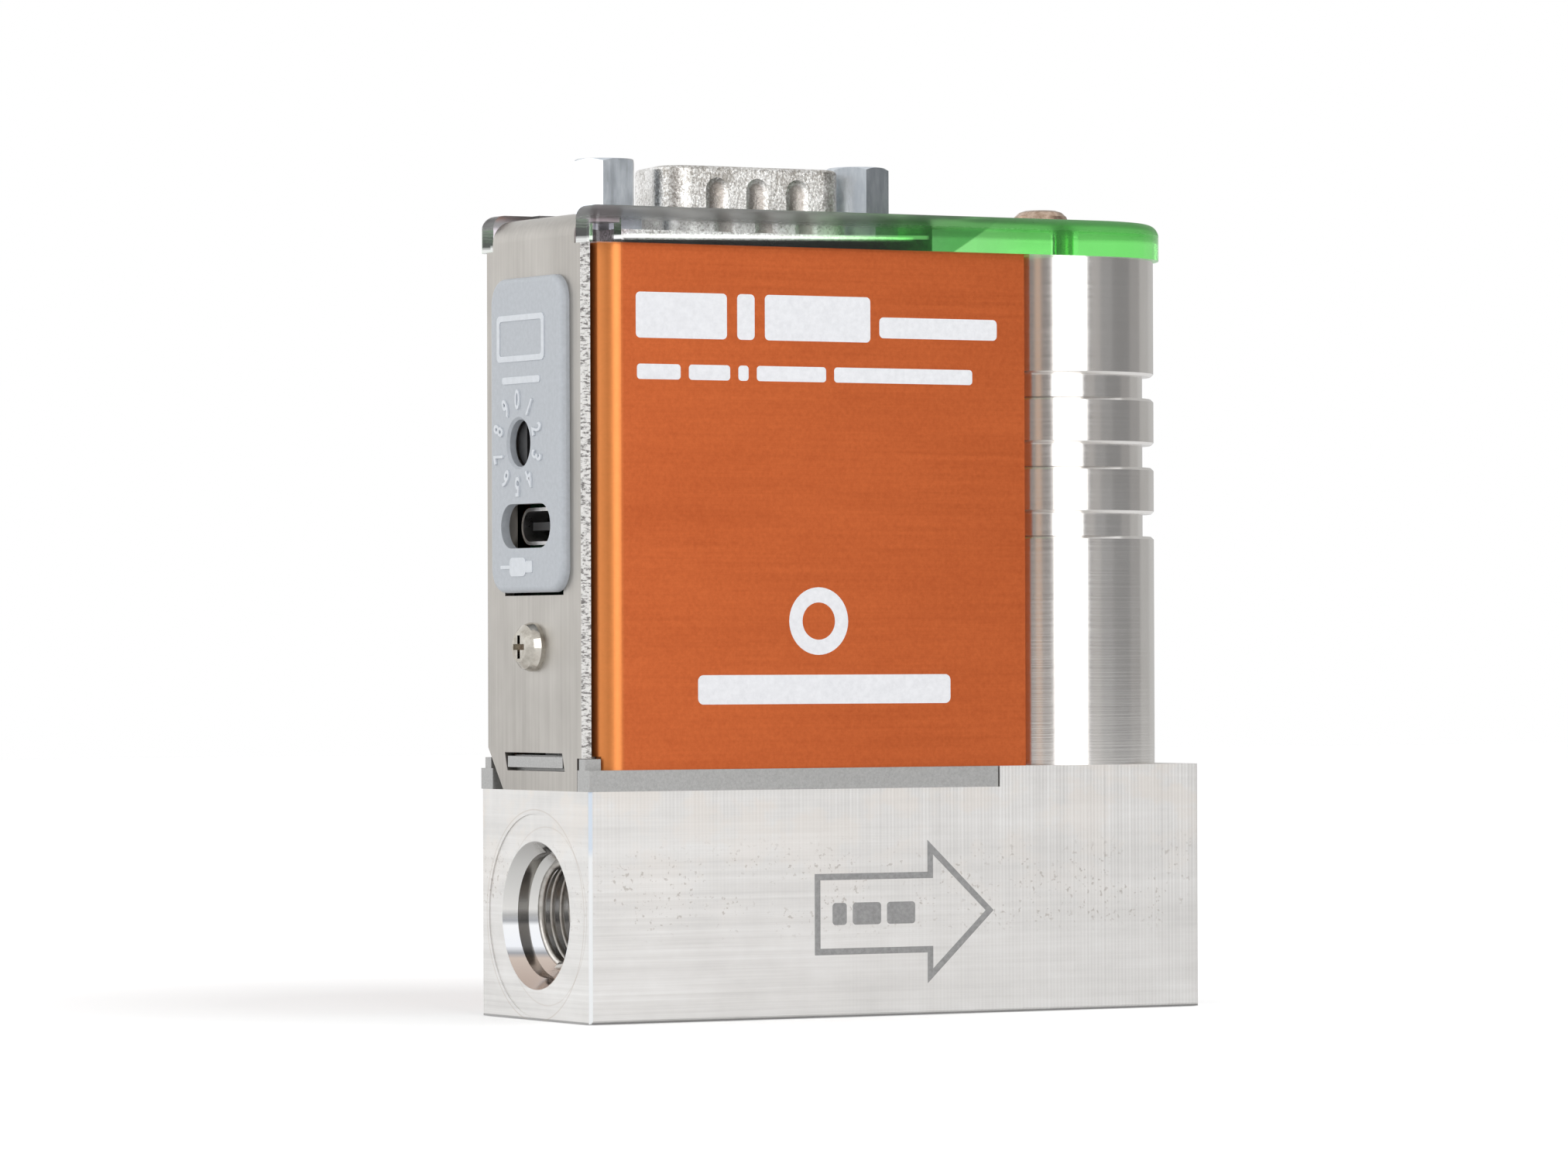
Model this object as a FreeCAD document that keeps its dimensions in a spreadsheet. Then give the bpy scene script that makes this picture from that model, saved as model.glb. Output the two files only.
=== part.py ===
import FreeCAD, Part
import math
import os
import types

import Sketcher
from FreeCAD import Placement, Rotation, Vector

# Thermal mass flow meter with a solenoid control valve, in millimetres.
# The origin is the centre of the base block's bottom face. +X points along the flow to the
# outlet, +Z points up and -Y to the front, where the flow arrow is.

SIZES = {
    # base block
    "block_length": 60.8,
    "block_width": 20.2,
    "low_step": 1.8,
    "block_chamfer": 0.3,
    # inlet and outlet ports, G 1/8
    "port_height": 8.9,
    "deck_rise": 12.5,
    "spotface_radius": 8.7,
    "spotface_depth": 0.1,
    "mouth_radius": 6.3,
    "mouth_depth": 1.1,
    "seal_radius": 5.37,
    "seal_depth": 1.05,
    "thread_radius": 4.283,
    "port_depth": 8.0,
    # flow path in the block
    "element_bore_radius": 4.0,
    "element_bore_length": 24.0,
    "flow_bore_radius": 2.0,
    "mounting_hole_radius": 1.25,
    "mounting_hole_depth": 4.0,
    "mounting_hole_spacing": 30.0,
    # inlet screen and laminar flow element
    "screen_play": 0.05,
    "screen_thickness": 0.8,
    "element_core_radius": 2.6,
    "element_disc_radius": 3.85,
    "element_disc_thickness": 1.2,
    "element_disc_pitch": 2.0,
    "element_nose_length": 2.0,
    "element_leg_radius": 0.6,
    "element_leg_circle": 2.9,
    # flow sensor on the block
    "sensor_inset": 20.4,
    "tap_spacing": 11.0,
    "tap_radius": 0.6,
    "sensor_end_step": 1.7,
    "sensor_width": 9.0,
    "sensor_height": 4.0,
    "sensor_screw_step": 2.8,
    "tube_radius": 0.4,
    "tube_bore_radius": 0.25,
    "tube_rise": 12.4,
    "tube_bend_radius": 2.0,
    "winding_radius": 1.0,
    "winding_length": 3.0,
    "winding_gap": 1.0,
    "sensor_seal_radius": 1.2,
    "sensor_seal_section": 0.8,
    # small screws
    "screw_radius": 1.0,
    "screw_play": 0.05,
    "screw_length": 5.0,
    "countersunk_head_radius": 1.7,
    "pan_head_radius": 1.8,
    "pan_head_height": 1.3,
    # adapter frame
    "frame_gap": 0.2,
    "frame_window_left": 5.4,
    "frame_window_right": 2.7,
    "frame_window_width": 10.0,
    "frame_screw_inset": 3.6,
    "frame_screw_spacing": 14.0,
    "sill_height": 1.2,
    "lug_width": 10.2,
    "lug_bottom": 1.95,
    "lug_height": 0.95,
    "post_length": 1.5,
    "post_side_step": 0.8,
    "post_width": 1.1,
    "post_height": 0.95,
    "tab_width": 5.2,
    "tab_thickness": 2.8,
    "tab_height": 13.0,
    "tab_setback": 2.4,
    # end cover
    "sheet_thickness": 0.9,
    "end_cover_side_step": 1.35,
    "end_cover_tab_step": 0.9,
    "end_cover_shoulder_rise": 1.0,
    "end_cover_slope_rise": 3.6,
    "end_cover_slope_run": 2.85,
    "end_cover_tongue_step": 1.15,
    "end_cover_tongue_rise": 2.7,
    "end_cover_lip_gap": 0.2,
    "end_cover_bend_radius": 2.0,
    "slot_play": 0.5,
    "slot_bottom": 1.66,
    "slot_height": 1.55,
    "slot_lean": 0.5,
    "pry_slot_width": 10.9,
    "pry_slot_below": 0.25,
    "pry_slot_above": 0.75,
    "cover_screw_rise": 10.45,
    "cover_screw_head_radius": 2.1,
    "cover_screw_head_height": 1.5,
    "cover_screw_crown_radius": 1.3,
    "cover_screw_shoulder_radius": 1.89,
    "cover_screw_shoulder_drop": 0.52,
    "cover_screw_rim_drop": 1.12,
    "cover_screw_length": 4.6,
    "recess_width": 0.5,
    "recess_length": 2.0,
    "recess_depth": 0.8,
    # access panel
    "panel_width": 13.4,
    "panel_rise": 15.1,
    "panel_height": 27.0,
    "panel_thickness": 0.8,
    "panel_corner_radius": 2.2,
    "panel_edge_radius": 0.5,
    "dial_rise": 27.9,
    "dial_hole_radius": 2.025,
    "dial_rim_radius": 2.25,
    "usb_rise": 20.8,
    "usb_slot_width": 9.2,
    "usb_slot_height": 3.8,
    # main cover
    "cover_setback": 1.3,
    "cover_side_step": 0.3,
    "cover_end_offset": 7.65,
    "cover_wall": 1.0,
    "cover_bend_radius": 2.0,
    "cover_height": 44.6,
    "cover_return": 2.2,
    "cover_window_width": 12.8,
    "cover_window_bottom": 3.1,
    "cover_window_top": 4.0,
    "cover_sill_gap": 0.2,
    # top lens
    "lens_setback": 0.1,
    "lens_overhang": 0.4,
    "lens_height": 3.2,
    "lens_edge_radius": 1.1,
    "lens_corner_radius": 0.8,
    "lens_screw_radius": 1.2,
    "lens_screw_play": 0.15,
    "lens_screw_length": 12.0,
    "lens_head_radius": 2.5,
    "lens_head_height": 1.35,
    "lens_head_rim_height": 0.4,
    "lens_head_shoulder_radius": 2.32,
    "lens_head_shoulder_height": 0.81,
    "lens_head_slope_radius": 1.9,
    "lens_head_slope_height": 1.19,
    "lens_head_crown_radius": 1.38,
    "lens_head_socket": 1.5,
    "lens_head_socket_depth": 0.8,
    # valve tower and valve
    "tower_side_step": 0.1,
    "tower_end_step": 0.05,
    "tower_deck_gap": 0.45,
    "groove_depth": 1.0,
    "groove_height": 2.0,
    "groove_pitch": 6.1,
    "groove_start": 20.1,
    "groove_chamfer": 0.25,
    "tower_wall": 2.4,
    "tower_cap": 5.0,
    "cavity_radius": 6.0,
    "cavity_depth": 6.8,
    "valve_feed_radius": 0.8,
    "valve_drain_offset": 3.2,
    "spigot_play": 0.05,
    "spigot_length": 5.4,
    "core_flange_play": 0.2,
    "core_flange_height": 2.0,
    "core_tube_radius": 3.2,
    "core_bore_radius": 2.7,
    "core_play": 0.1,
    "core_top_gap": 0.2,
    "pole_length": 15.0,
    "valve_lift": 0.4,
    "spring_radius": 1.3,
    "spring_wire_radius": 0.2,
    "spring_turns": 5.0,
    "spring_seat_radius": 1.7,
    "spring_seat_depth": 6.0,
    "seal_disc_radius": 1.85,
    "seal_disc_thickness": 0.8,
    "seal_disc_sink": 0.5,
    "orifice_base_radius": 2.2,
    "orifice_base_height": 1.2,
    "orifice_nozzle_radius": 1.2,
    "orifice_nozzle_height": 0.8,
    "orifice_bore_radius": 0.5,
    "valve_seal_radius": 4.9,
    "bobbin_wall": 0.6,
    "bobbin_flange": 1.0,
    "bobbin_play": 0.4,
    "winding_play": 0.2,
    "bobbin_top_gap": 0.6,
    # D-sub connector
    "dsub_inset": 19.4,
    "dsub_screw_spacing": 24.99,
    "dsub_flange_edge": 0.02,
    "dsub_flange_width": 12.5,
    "dsub_flange_thickness": 1.3,
    "dsub_shell_length": 18.5,
    "dsub_shell_width": 9.2,
    "dsub_shell_height": 5.9,
    "dsub_shell_radius": 2.3,
    "dsub_shell_wall": 0.45,
    "dsub_lip_radius": 0.4,
    "dsub_side_angle": 10.0,
    "dimple_pitch": 3.95,
    "dimple_width": 2.2,
    "dimple_depth": 0.25,
    "dimple_top_gap": 1.0,
    "dsub_play": 0.05,
    "insulator_front_height": 2.0,
    "insulator_back_depth": 4.0,
    "pin_radius": 0.5,
    "pin_pitch": 2.77,
    "pin_row_spacing": 2.84,
    "pin_tip_height": 5.2,
    "pin_tail_depth": 5.5,
    "jackscrew_flats": 5.0,
    "jackscrew_height": 6.45,
    "jackscrew_hole_radius": 1.1,
    "jackscrew_hole_depth": 5.0,
    "jackscrew_stud_radius": 1.4,
    "jackscrew_stud_length": 5.0,
    "jackscrew_turn": 17.5,
    "jackscrew_bevel_height": 0.262,
    # connector plate, boards and what they carry
    "plate_thickness": 1.6,
    "plate_play": 0.1,
    "board_usb_gap": 0.43,
    "board_thickness": 1.6,
    "board_left": 3.0,
    "board_rise": 2.6,
    "interface_board_thickness": 1.0,
    "interface_board_length": 10.0,
    "usb_shell_width": 8.94,
    "usb_shell_height": 3.2,
    "usb_shell_length": 7.3,
    "usb_shell_wall": 0.3,
    "usb_setback": 1.1,
    "usb_tongue_width": 6.7,
    "usb_tongue_thickness": 0.7,
    "switch_side": 7.2,
    "switch_depth": 6.9,
    "rotor_radius": 1.95,
    "rotor_length": 6.2,
    "rotor_play": 0.08,
    "rotor_gap": 0.2,
    "rotor_slot_width": 0.6,
    "rotor_slot_depth": 0.6,
    "led_radius": 1.5,
    "led_height": 6.0,
    "led_inset": 2.0,
    "processor_place": 13.4,
    "processor_rise": 26.0,
    "processor_side": 9.0,
    "processor_height": 1.2,
    "amplifier_place": 23.4,
    "amplifier_rise": 12.0,
    "amplifier_side": 5.0,
    "amplifier_height": 1.5,
    "driver_inset": 6.0,
    "driver_rise": 24.0,
    "driver_side": 6.0,
    "driver_height": 1.6,
    "regulator_inset": 6.5,
    "regulator_rise": 6.0,
    "regulator_side": 7.0,
    "regulator_height": 2.2,
}

document = FreeCAD.newDocument("MassFlowMeter")
sheet = document.addObject("Spreadsheet::Sheet", "Sizes")
for row, (name, value) in enumerate(SIZES.items(), start=1):
    sheet.set(f"A{row}", name)
    sheet.set(f"B{row}", str(value))
    sheet.setAlias(f"B{row}", name)
document.recompute()


class Length:
    """A size in millimetres, together with the formula that gives it in the document."""

    def __init__(self, value, formula):
        self.value = value
        self.formula = formula

    def __add__(self, other):
        other = as_length(other)
        return Length(self.value + other.value, f"({self.formula} + {other.formula})")

    def __radd__(self, other):
        return as_length(other) + self

    def __sub__(self, other):
        other = as_length(other)
        return Length(self.value - other.value, f"({self.formula} - {other.formula})")

    def __rsub__(self, other):
        return as_length(other) - self

    def __neg__(self):
        return as_length(0) - self

    def __mul__(self, factor):
        factor = as_length(factor)
        return Length(self.value * factor.value, f"({self.formula} * {factor.formula})")

    __rmul__ = __mul__

    def __truediv__(self, divisor):
        return Length(self.value / divisor, f"({self.formula} / {divisor})")


def as_length(number):
    """The number itself if it is a Length already, or a Length with that fixed value."""
    if isinstance(number, Length):
        return number
    return Length(float(number), f"({float(number):.9f})")


size = types.SimpleNamespace(**{name: Length(value, f"Sizes.{name}") for name, value in SIZES.items()})


# Features bound to the sheet

def bind(feature, name, value):
    """Bind one property of the feature to a formula."""
    feature.setExpression(name, as_length(value).formula)


def move_to(feature, position):
    """Bind the feature's place to three formulas."""
    for axis, distance in zip("xyz", position):
        bind(feature, f"Placement.Base.{axis}", distance)


def box(low, high):
    """A box between two corners."""
    feature = document.addObject("Part::Box", "Box")
    for name, start, end in zip(("Length", "Width", "Height"), low, high):
        bind(feature, name, as_length(end) - start)
    move_to(feature, low)
    return feature


AXIS_TURNS = {
    "x": Rotation(Vector(0, 1, 0), 90),
    "y": Rotation(Vector(1, 0, 0), -90),
    "z": Rotation(),
}


def rod(radius, start, length, axis="z"):
    """A cylinder from the start point along an axis."""
    feature = document.addObject("Part::Cylinder", "Cylinder")
    bind(feature, "Radius", radius)
    bind(feature, "Height", length)
    feature.Placement = Placement(Vector(), AXIS_TURNS[axis])
    move_to(feature, start)
    return feature


def cone(radius_low, radius_high, start, height):
    """An upright cone from the start point."""
    feature = document.addObject("Part::Cone", "Cone")
    bind(feature, "Radius1", radius_low)
    bind(feature, "Radius2", radius_high)
    bind(feature, "Height", height)
    move_to(feature, start)
    return feature


def ring(radius, section_radius, centre):
    """A flat O-ring."""
    feature = document.addObject("Part::Torus", "Torus")
    bind(feature, "Radius1", radius)
    bind(feature, "Radius2", section_radius)
    move_to(feature, centre)
    return feature


def fuse(*features):
    """One solid from several that touch."""
    feature = document.addObject("Part::MultiFuse", "Fuse")
    feature.Shapes = list(features)
    return feature


def group(*features):
    """Several like solids that share one node."""
    feature = document.addObject("Part::Compound", "Group")
    feature.Links = list(features)
    return feature


def cut(base, *tools):
    """The base without its tools."""
    feature = document.addObject("Part::Cut", "Cut")
    feature.Base = base
    feature.Tool = tools[0] if len(tools) == 1 else group(*tools)
    return feature


# Sketched features

def sketch_on(body, plane, shift=(0, 0, 0)):
    """An empty sketch on one of the body's origin planes, shifted in the sketch's own axes."""
    support = next(item for item in body.Origin.OriginFeatures if item.Role == plane)
    sketch = body.newObject("Sketcher::SketchObject", "Sketch")
    sketch.AttachmentSupport = (support, [""])
    sketch.MapMode = "FlatFace"
    for axis, distance in zip("xyz", shift):
        bind(sketch, f".AttachmentOffset.Base.{axis}", distance)
    return sketch


def pin_down(sketch, kind, shape, point, value):
    """Hold one point of the sketch at a formula's distance from the sketch's origin."""
    value = as_length(value)
    constraint = Sketcher.Constraint(kind, -1, 1, shape, point, value.value)
    number = sketch.addConstraint(constraint)
    bind(sketch, f"Constraints[{number}]", value)


def draw_polygon(sketch, corners):
    """A closed outline through corners given as pairs of formulas."""
    first = sketch.GeometryCount
    places = [Vector(as_length(u).value, as_length(v).value, 0) for u, v in corners]
    sides = [Part.LineSegment(start, end) for start, end in zip(places, places[1:] + places[:1])]
    sketch.addGeometry(sides, False)
    for number, (u, v) in enumerate(corners):
        following = first + (number + 1) % len(corners)
        sketch.addConstraint(Sketcher.Constraint("Coincident", first + number, 2, following, 1))
        pin_down(sketch, "DistanceX", first + number, 1, u)
        pin_down(sketch, "DistanceY", first + number, 1, v)


def draw_rectangle(sketch, low, high):
    """A rectangle between two corners."""
    draw_polygon(sketch, [low, (high[0], low[1]), high, (low[0], high[1])])


def draw_circle(sketch, centre, radius):
    """A circle round a centre given as a pair of formulas."""
    u, v = (as_length(distance) for distance in centre)
    radius = as_length(radius)
    middle = Vector(u.value, v.value, 0)
    number = sketch.addGeometry(Part.Circle(middle, Vector(0, 0, 1), radius.value), False)
    pin_down(sketch, "DistanceX", number, 3, u)
    pin_down(sketch, "DistanceY", number, 3, v)
    constraint = sketch.addConstraint(Sketcher.Constraint("Radius", number, radius.value))
    bind(sketch, f"Constraints[{constraint}]", radius)


def new_body(position=(0, 0, 0)):
    """An empty body at a bound place."""
    body = document.addObject("PartDesign::Body", "Body")
    move_to(body, position)
    return body


def pad(body, sketch, length):
    """Raise the sketch along its plane's normal."""
    feature = body.newObject("PartDesign::Pad", "Pad")
    feature.Profile = sketch
    bind(feature, "Length", length)
    document.recompute()
    return feature


def pocket(body, sketch, length, along_normal=False):
    """Cut the sketch against its plane's normal or along it, and make sure that it cut."""
    before = body.Tip.Shape.Volume
    feature = body.newObject("PartDesign::Pocket", "Pocket")
    feature.Profile = sketch
    feature.Reversed = along_normal
    bind(feature, "Length", length)
    document.recompute()
    if feature.Shape.Volume > before - 1e-6:
        raise RuntimeError(f"{feature.Name} cuts nothing")
    return feature


def revolve(body, sketch, axis="V_Axis"):
    """Turn the sketch round one of its own axes."""
    feature = body.newObject("PartDesign::Revolution", "Revolution")
    feature.Profile = sketch
    feature.ReferenceAxis = (sketch, [axis])
    feature.Angle = 360
    document.recompute()
    return feature


def groove(body, sketch, axis):
    """Turn the sketch round one of its own axes and take it away."""
    before = body.Tip.Shape.Volume
    feature = body.newObject("PartDesign::Groove", "Groove")
    feature.Profile = sketch
    feature.ReferenceAxis = (sketch, [axis])
    feature.Angle = 360
    document.recompute()
    if feature.Shape.Volume > before - 1e-6:
        raise RuntimeError(f"{feature.Name} cuts nothing")
    return feature


def soften(body, kind, amount, chosen):
    """Fillet or chamfer the edges of the body's tip that the test chooses."""
    tip = body.Tip
    names = [f"Edge{number}" for number, edge in enumerate(tip.Shape.Edges, start=1) if chosen(edge)]
    if not names:
        raise RuntimeError(f"no edge to {kind} in {body.Name}")
    feature = body.newObject(f"PartDesign::{kind}", kind)
    feature.Base = (tip, names)
    bind(feature, "Radius" if kind == "Fillet" else "Size", amount)
    document.recompute()
    return feature


def turned(outline, position=(0, 0, 0)):
    """A body turned round the upright axis through its place: corners are (radius, height)."""
    body = new_body(position)
    sketch = sketch_on(body, "XZ_Plane")
    draw_polygon(sketch, outline)
    revolve(body, sketch)
    return body


def turned_along_x(outline, position=(0, 0, 0)):
    """A body turned round the level axis through its place: corners are (distance, radius)."""
    body = new_body(position)
    sketch = sketch_on(body, "XZ_Plane")
    draw_polygon(sketch, outline)
    revolve(body, sketch, "H_Axis")
    return body


def drill(body, centres, radius, top, depth):
    """Round holes straight down from a height."""
    sketch = sketch_on(body, "XY_Plane", (0, 0, top))
    for centre in centres:
        draw_circle(sketch, centre, radius)
    return pocket(body, sketch, depth)


def close_to(value, target):
    """Whether a measured coordinate lies at a size's place."""
    return abs(value - as_length(target).value) < 1e-4


def is_upright(edge):
    """Whether the edge is a straight line along Z."""
    span = edge.BoundBox
    return span.ZLength > 1e-3 and span.XLength < 1e-4 and span.YLength < 1e-4


nodes = []


def node(label, feature):
    """Give a finished sub-part its name."""
    feature.Label = label
    nodes.append(feature)
    return feature


# Shared places

block_left = -size.block_length / 2
block_right = size.block_length / 2
block_front = -size.block_width / 2
block_back = size.block_width / 2
deck = size.port_height + size.deck_rise
low_deck = deck - size.low_step
port_floor = block_left + size.port_depth
element_bore_end = port_floor + size.element_bore_length
sensor_centre = block_left + size.sensor_inset
tap_places = [sensor_centre - size.tap_spacing / 2, sensor_centre + size.tap_spacing / 2]
sensor_screw_reach = size.tap_spacing / 2 + size.sensor_screw_step
sensor_screw_places = [sensor_centre - sensor_screw_reach, sensor_centre + sensor_screw_reach]
tower_radius = block_back - size.tower_side_step
tower_axis = block_right - size.tower_end_step - tower_radius
step = tower_axis - tower_radius - size.tower_deck_gap
frame_right = step - size.frame_gap
frame_screw_places = [
    (x, y)
    for x in (block_left + size.frame_screw_inset + size.tab_setback, frame_right - size.frame_screw_inset)
    for y in (-size.frame_screw_spacing / 2, size.frame_screw_spacing / 2)
]
cover_left = block_left + size.cover_setback
cover_right = tower_axis - size.cover_end_offset
cover_inner_left = cover_left + size.cover_wall
cover_front = block_front + size.cover_side_step
cover_back = block_back - size.cover_side_step
cover_top = deck + size.cover_height
board_front = size.usb_shell_width / 2 + size.board_usb_gap
board_back = board_front + size.board_thickness
dial_offset = board_front - size.switch_side / 2
screw_hole = size.screw_radius + size.screw_play
cavity_floor = deck - size.cavity_depth
dsub_centre = block_left + size.dsub_inset
dsub_screw_places = [
    dsub_centre - size.dsub_screw_spacing / 2,
    dsub_centre + size.dsub_screw_spacing / 2,
]
jackscrew_corner = size.jackscrew_flats / (2 * math.cos(math.pi / 6))
flange_half_length = size.dsub_screw_spacing / 2 + jackscrew_corner + size.dsub_flange_edge
flange_half_width = size.dsub_flange_width / 2
flange_top = cover_top + size.dsub_flange_thickness
cover_screw_height = deck + size.cover_screw_rise
panel_bottom = deck + size.panel_rise
dial_height = deck + size.dial_rise
usb_height = deck + size.usb_rise
end_half_width = block_back - size.end_cover_side_step
end_half_tab = end_half_width - size.end_cover_tab_step
half_sill = end_half_tab + size.screw_play


# Base block with its ports and flow path

def port_outline(face, inward):
    """Half section of one port, from its face inward, as (distance, radius) corners."""
    stations = [
        (0, size.spotface_radius),
        (size.spotface_depth, size.spotface_radius),
        (size.spotface_depth, size.mouth_radius),
        (size.mouth_depth, size.seal_radius),
        (size.mouth_depth + size.seal_depth, size.seal_radius),
        (size.mouth_depth + size.seal_depth + size.seal_radius - size.thread_radius, size.thread_radius),
        (size.port_depth, size.thread_radius),
    ]
    return [(face + inward * as_length(depth), radius) for depth, radius in stations]


def make_block():
    body = new_body()
    side = sketch_on(body, "XZ_Plane", (0, 0, block_front))
    draw_polygon(side, [
        (block_left, 0), (block_right, 0), (block_right, deck),
        (step, deck), (step, low_deck), (block_left, low_deck),
    ])
    pad(body, side, size.block_width)

    def outer(edge):
        middle = edge.BoundBox.Center
        at_end = close_to(middle.x, block_left) or close_to(middle.x, block_right)
        at_side = close_to(middle.y, block_front) or close_to(middle.y, block_back)
        return is_upright(edge) and at_end or at_side and close_to(middle.z, 0)

    soften(body, "Chamfer", size.block_chamfer, outer)
    inlet = sketch_on(body, "XZ_Plane", (0, size.port_height, 0))
    draw_polygon(inlet, [(block_left, 0)] + port_outline(block_left, 1) + [
        (port_floor, size.element_bore_radius),
        (element_bore_end, size.element_bore_radius),
        (element_bore_end, size.flow_bore_radius),
        (tower_axis + size.valve_feed_radius, size.flow_bore_radius),
        (tower_axis + size.valve_feed_radius, 0),
    ])
    groove(body, inlet, "H_Axis")
    outlet = sketch_on(body, "XZ_Plane", (0, size.port_height, 0))
    draw_polygon(outlet, [(block_right, 0)] + port_outline(block_right, -1) + [
        (block_right - size.port_depth, 0),
    ])
    groove(body, outlet, "H_Axis")
    drill(body, [(tower_axis, 0)], size.cavity_radius, deck, size.cavity_depth)
    drill(body, [(tower_axis, 0)], size.valve_feed_radius, cavity_floor, cavity_floor - size.port_height)
    drill(
        body, [(tower_axis + size.valve_drain_offset, 0)], size.valve_feed_radius,
        cavity_floor, cavity_floor - size.port_height,
    )
    drill(
        body, [(x, 0) for x in tap_places], size.tap_radius,
        low_deck, low_deck - size.port_height,
    )
    blind = [(x, 0) for x in sensor_screw_places] + frame_screw_places
    drill(body, blind, screw_hole, low_deck, size.screw_length)
    half_spacing = size.mounting_hole_spacing / 2
    mounting = [(-half_spacing, 0), (half_spacing, 0)]
    drill(body, mounting, size.mounting_hole_radius, size.mounting_hole_depth, size.mounting_hole_depth)
    return body


node("base_block", make_block())


# Inlet screen pressed into the bore behind the inlet thread, and the laminar flow element

node("inlet_screen", rod(
    size.element_bore_radius - size.screen_play, (port_floor, 0, size.port_height),
    size.screen_thickness, "x",
))


def make_flow_element():
    body = new_body((0, 0, size.port_height))
    first_disc = tap_places[0] + size.element_nose_length
    count = 4
    last_face = first_disc + (count - 1) * size.element_disc_pitch + size.element_disc_thickness
    outline = [(tap_places[0], 0), (first_disc, size.element_core_radius)]
    for number in range(count):
        left = first_disc + number * size.element_disc_pitch
        right = left + size.element_disc_thickness
        if number:
            outline.append((left, size.element_core_radius))
        outline += [(left, size.element_disc_radius), (right, size.element_disc_radius)]
        if number < count - 1:
            outline.append((right, size.element_core_radius))
    outline.append((last_face, 0))
    section = sketch_on(body, "XZ_Plane")
    draw_polygon(section, outline)
    revolve(body, section, "H_Axis")
    foot = sketch_on(body, "YZ_Plane", (0, 0, last_face - size.element_disc_thickness / 2))
    draw_circle(foot, (0, size.element_leg_circle), size.element_leg_radius)
    leg = pad(body, foot, element_bore_end - last_face + size.element_disc_thickness / 2)
    legs = body.newObject("PartDesign::PolarPattern", "Legs")
    legs.Originals = [leg]
    legs.Axis = (next(item for item in body.Origin.OriginFeatures if item.Role == "X_Axis"), [""])
    legs.Angle = 360
    legs.Occurrences = 3
    body.Tip = legs
    document.recompute()
    return body


node("flow_element", make_flow_element())


# Flow sensor: a base on the block with seals, a heated capillary bridge and its windings

sensor_floor = low_deck
sensor_top = sensor_floor + size.sensor_height
seal_recess = size.sensor_seal_radius + size.sensor_seal_section / 2 + size.screw_play


def make_sensor_base():
    half_length = sensor_screw_reach + size.sensor_end_step
    half_width = size.sensor_width / 2
    body = new_body()
    plan = sketch_on(body, "XY_Plane", (0, 0, sensor_floor))
    draw_rectangle(
        plan, (sensor_centre - half_length, -half_width), (sensor_centre + half_length, half_width)
    )
    pad(body, plan, size.sensor_height)
    drill(body, [(x, 0) for x in tap_places], size.tap_radius, sensor_top, size.sensor_height)
    drill(
        body, [(x, 0) for x in tap_places], seal_recess,
        sensor_floor + size.sensor_seal_section, size.sensor_seal_section,
    )
    drill(body, [(x, 0) for x in sensor_screw_places], screw_hole, sensor_top, size.sensor_height)
    return body


def make_sensor_tube():
    """A capillary bridge from one tap to the other, swept as a hollow tube."""
    start, end = (tap.value for tap in tap_places)
    floor = sensor_top.value
    bend = size.tube_bend_radius.value
    crown = floor + size.tube_rise.value
    lean = bend * math.sqrt(0.5)
    points = {
        "start": Vector(start, 0, floor),
        "rise": Vector(start, 0, crown - bend),
        "corner_in": Vector(start + bend - lean, 0, crown - bend + lean),
        "top_in": Vector(start + bend, 0, crown),
        "top_out": Vector(end - bend, 0, crown),
        "corner_out": Vector(end - bend + lean, 0, crown - bend + lean),
        "fall": Vector(end, 0, crown - bend),
        "end": Vector(end, 0, floor),
    }
    path = Part.Wire([
        Part.LineSegment(points["start"], points["rise"]).toShape(),
        Part.Arc(points["rise"], points["corner_in"], points["top_in"]).toShape(),
        Part.LineSegment(points["top_in"], points["top_out"]).toShape(),
        Part.Arc(points["top_out"], points["corner_out"], points["fall"]).toShape(),
        Part.LineSegment(points["fall"], points["end"]).toShape(),
    ])
    shapes = []
    for radius in (size.tube_radius.value, size.tube_bore_radius.value):
        section = Part.Wire([Part.Circle(points["start"], Vector(0, 0, 1), radius).toShape()])
        shapes.append(path.makePipeShell([section], True, False))
    feature = document.addObject("Part::Feature", "SensorTube")
    feature.Shape = shapes[0].cut(shapes[1])
    return feature


node("sensor_base", make_sensor_base())
node("sensor_tube", make_sensor_tube())
winding_starts = [
    sensor_centre - size.winding_gap / 2 - size.winding_length,
    sensor_centre + size.winding_gap / 2,
]
tube_crown = sensor_top + size.tube_rise
node("sensor_windings", group(*[
    cut(
        rod(size.winding_radius, (x, 0, tube_crown), size.winding_length, "x"),
        rod(size.tube_radius + size.screw_play, (x, 0, tube_crown), size.winding_length, "x"),
    )
    for x in winding_starts
]))
seal_wire = size.sensor_seal_section / 2
node("sensor_seals", group(*[
    ring(size.sensor_seal_radius, seal_wire, (x, 0, sensor_floor + seal_wire))
    for x in tap_places
]))


def pan_screw(x, y, seat, shank):
    """An upright screw with its head on a seat."""
    return fuse(
        rod(size.pan_head_radius, (x, y, seat), size.pan_head_height),
        rod(size.screw_radius, (x, y, seat - shank), shank),
    )


def countersunk_screw(x, y, top):
    """An upright screw whose head is flush with a face."""
    head_height = size.countersunk_head_radius - size.screw_radius
    return fuse(
        cone(size.screw_radius, size.countersunk_head_radius, (x, y, top - head_height), head_height),
        rod(size.screw_radius, (x, y, top - size.screw_length), size.screw_length - head_height),
    )


node("sensor_screws", group(*[
    pan_screw(x, 0, sensor_top, size.sensor_height + size.screw_length - size.screw_play)
    for x in sensor_screw_places
]))


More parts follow.
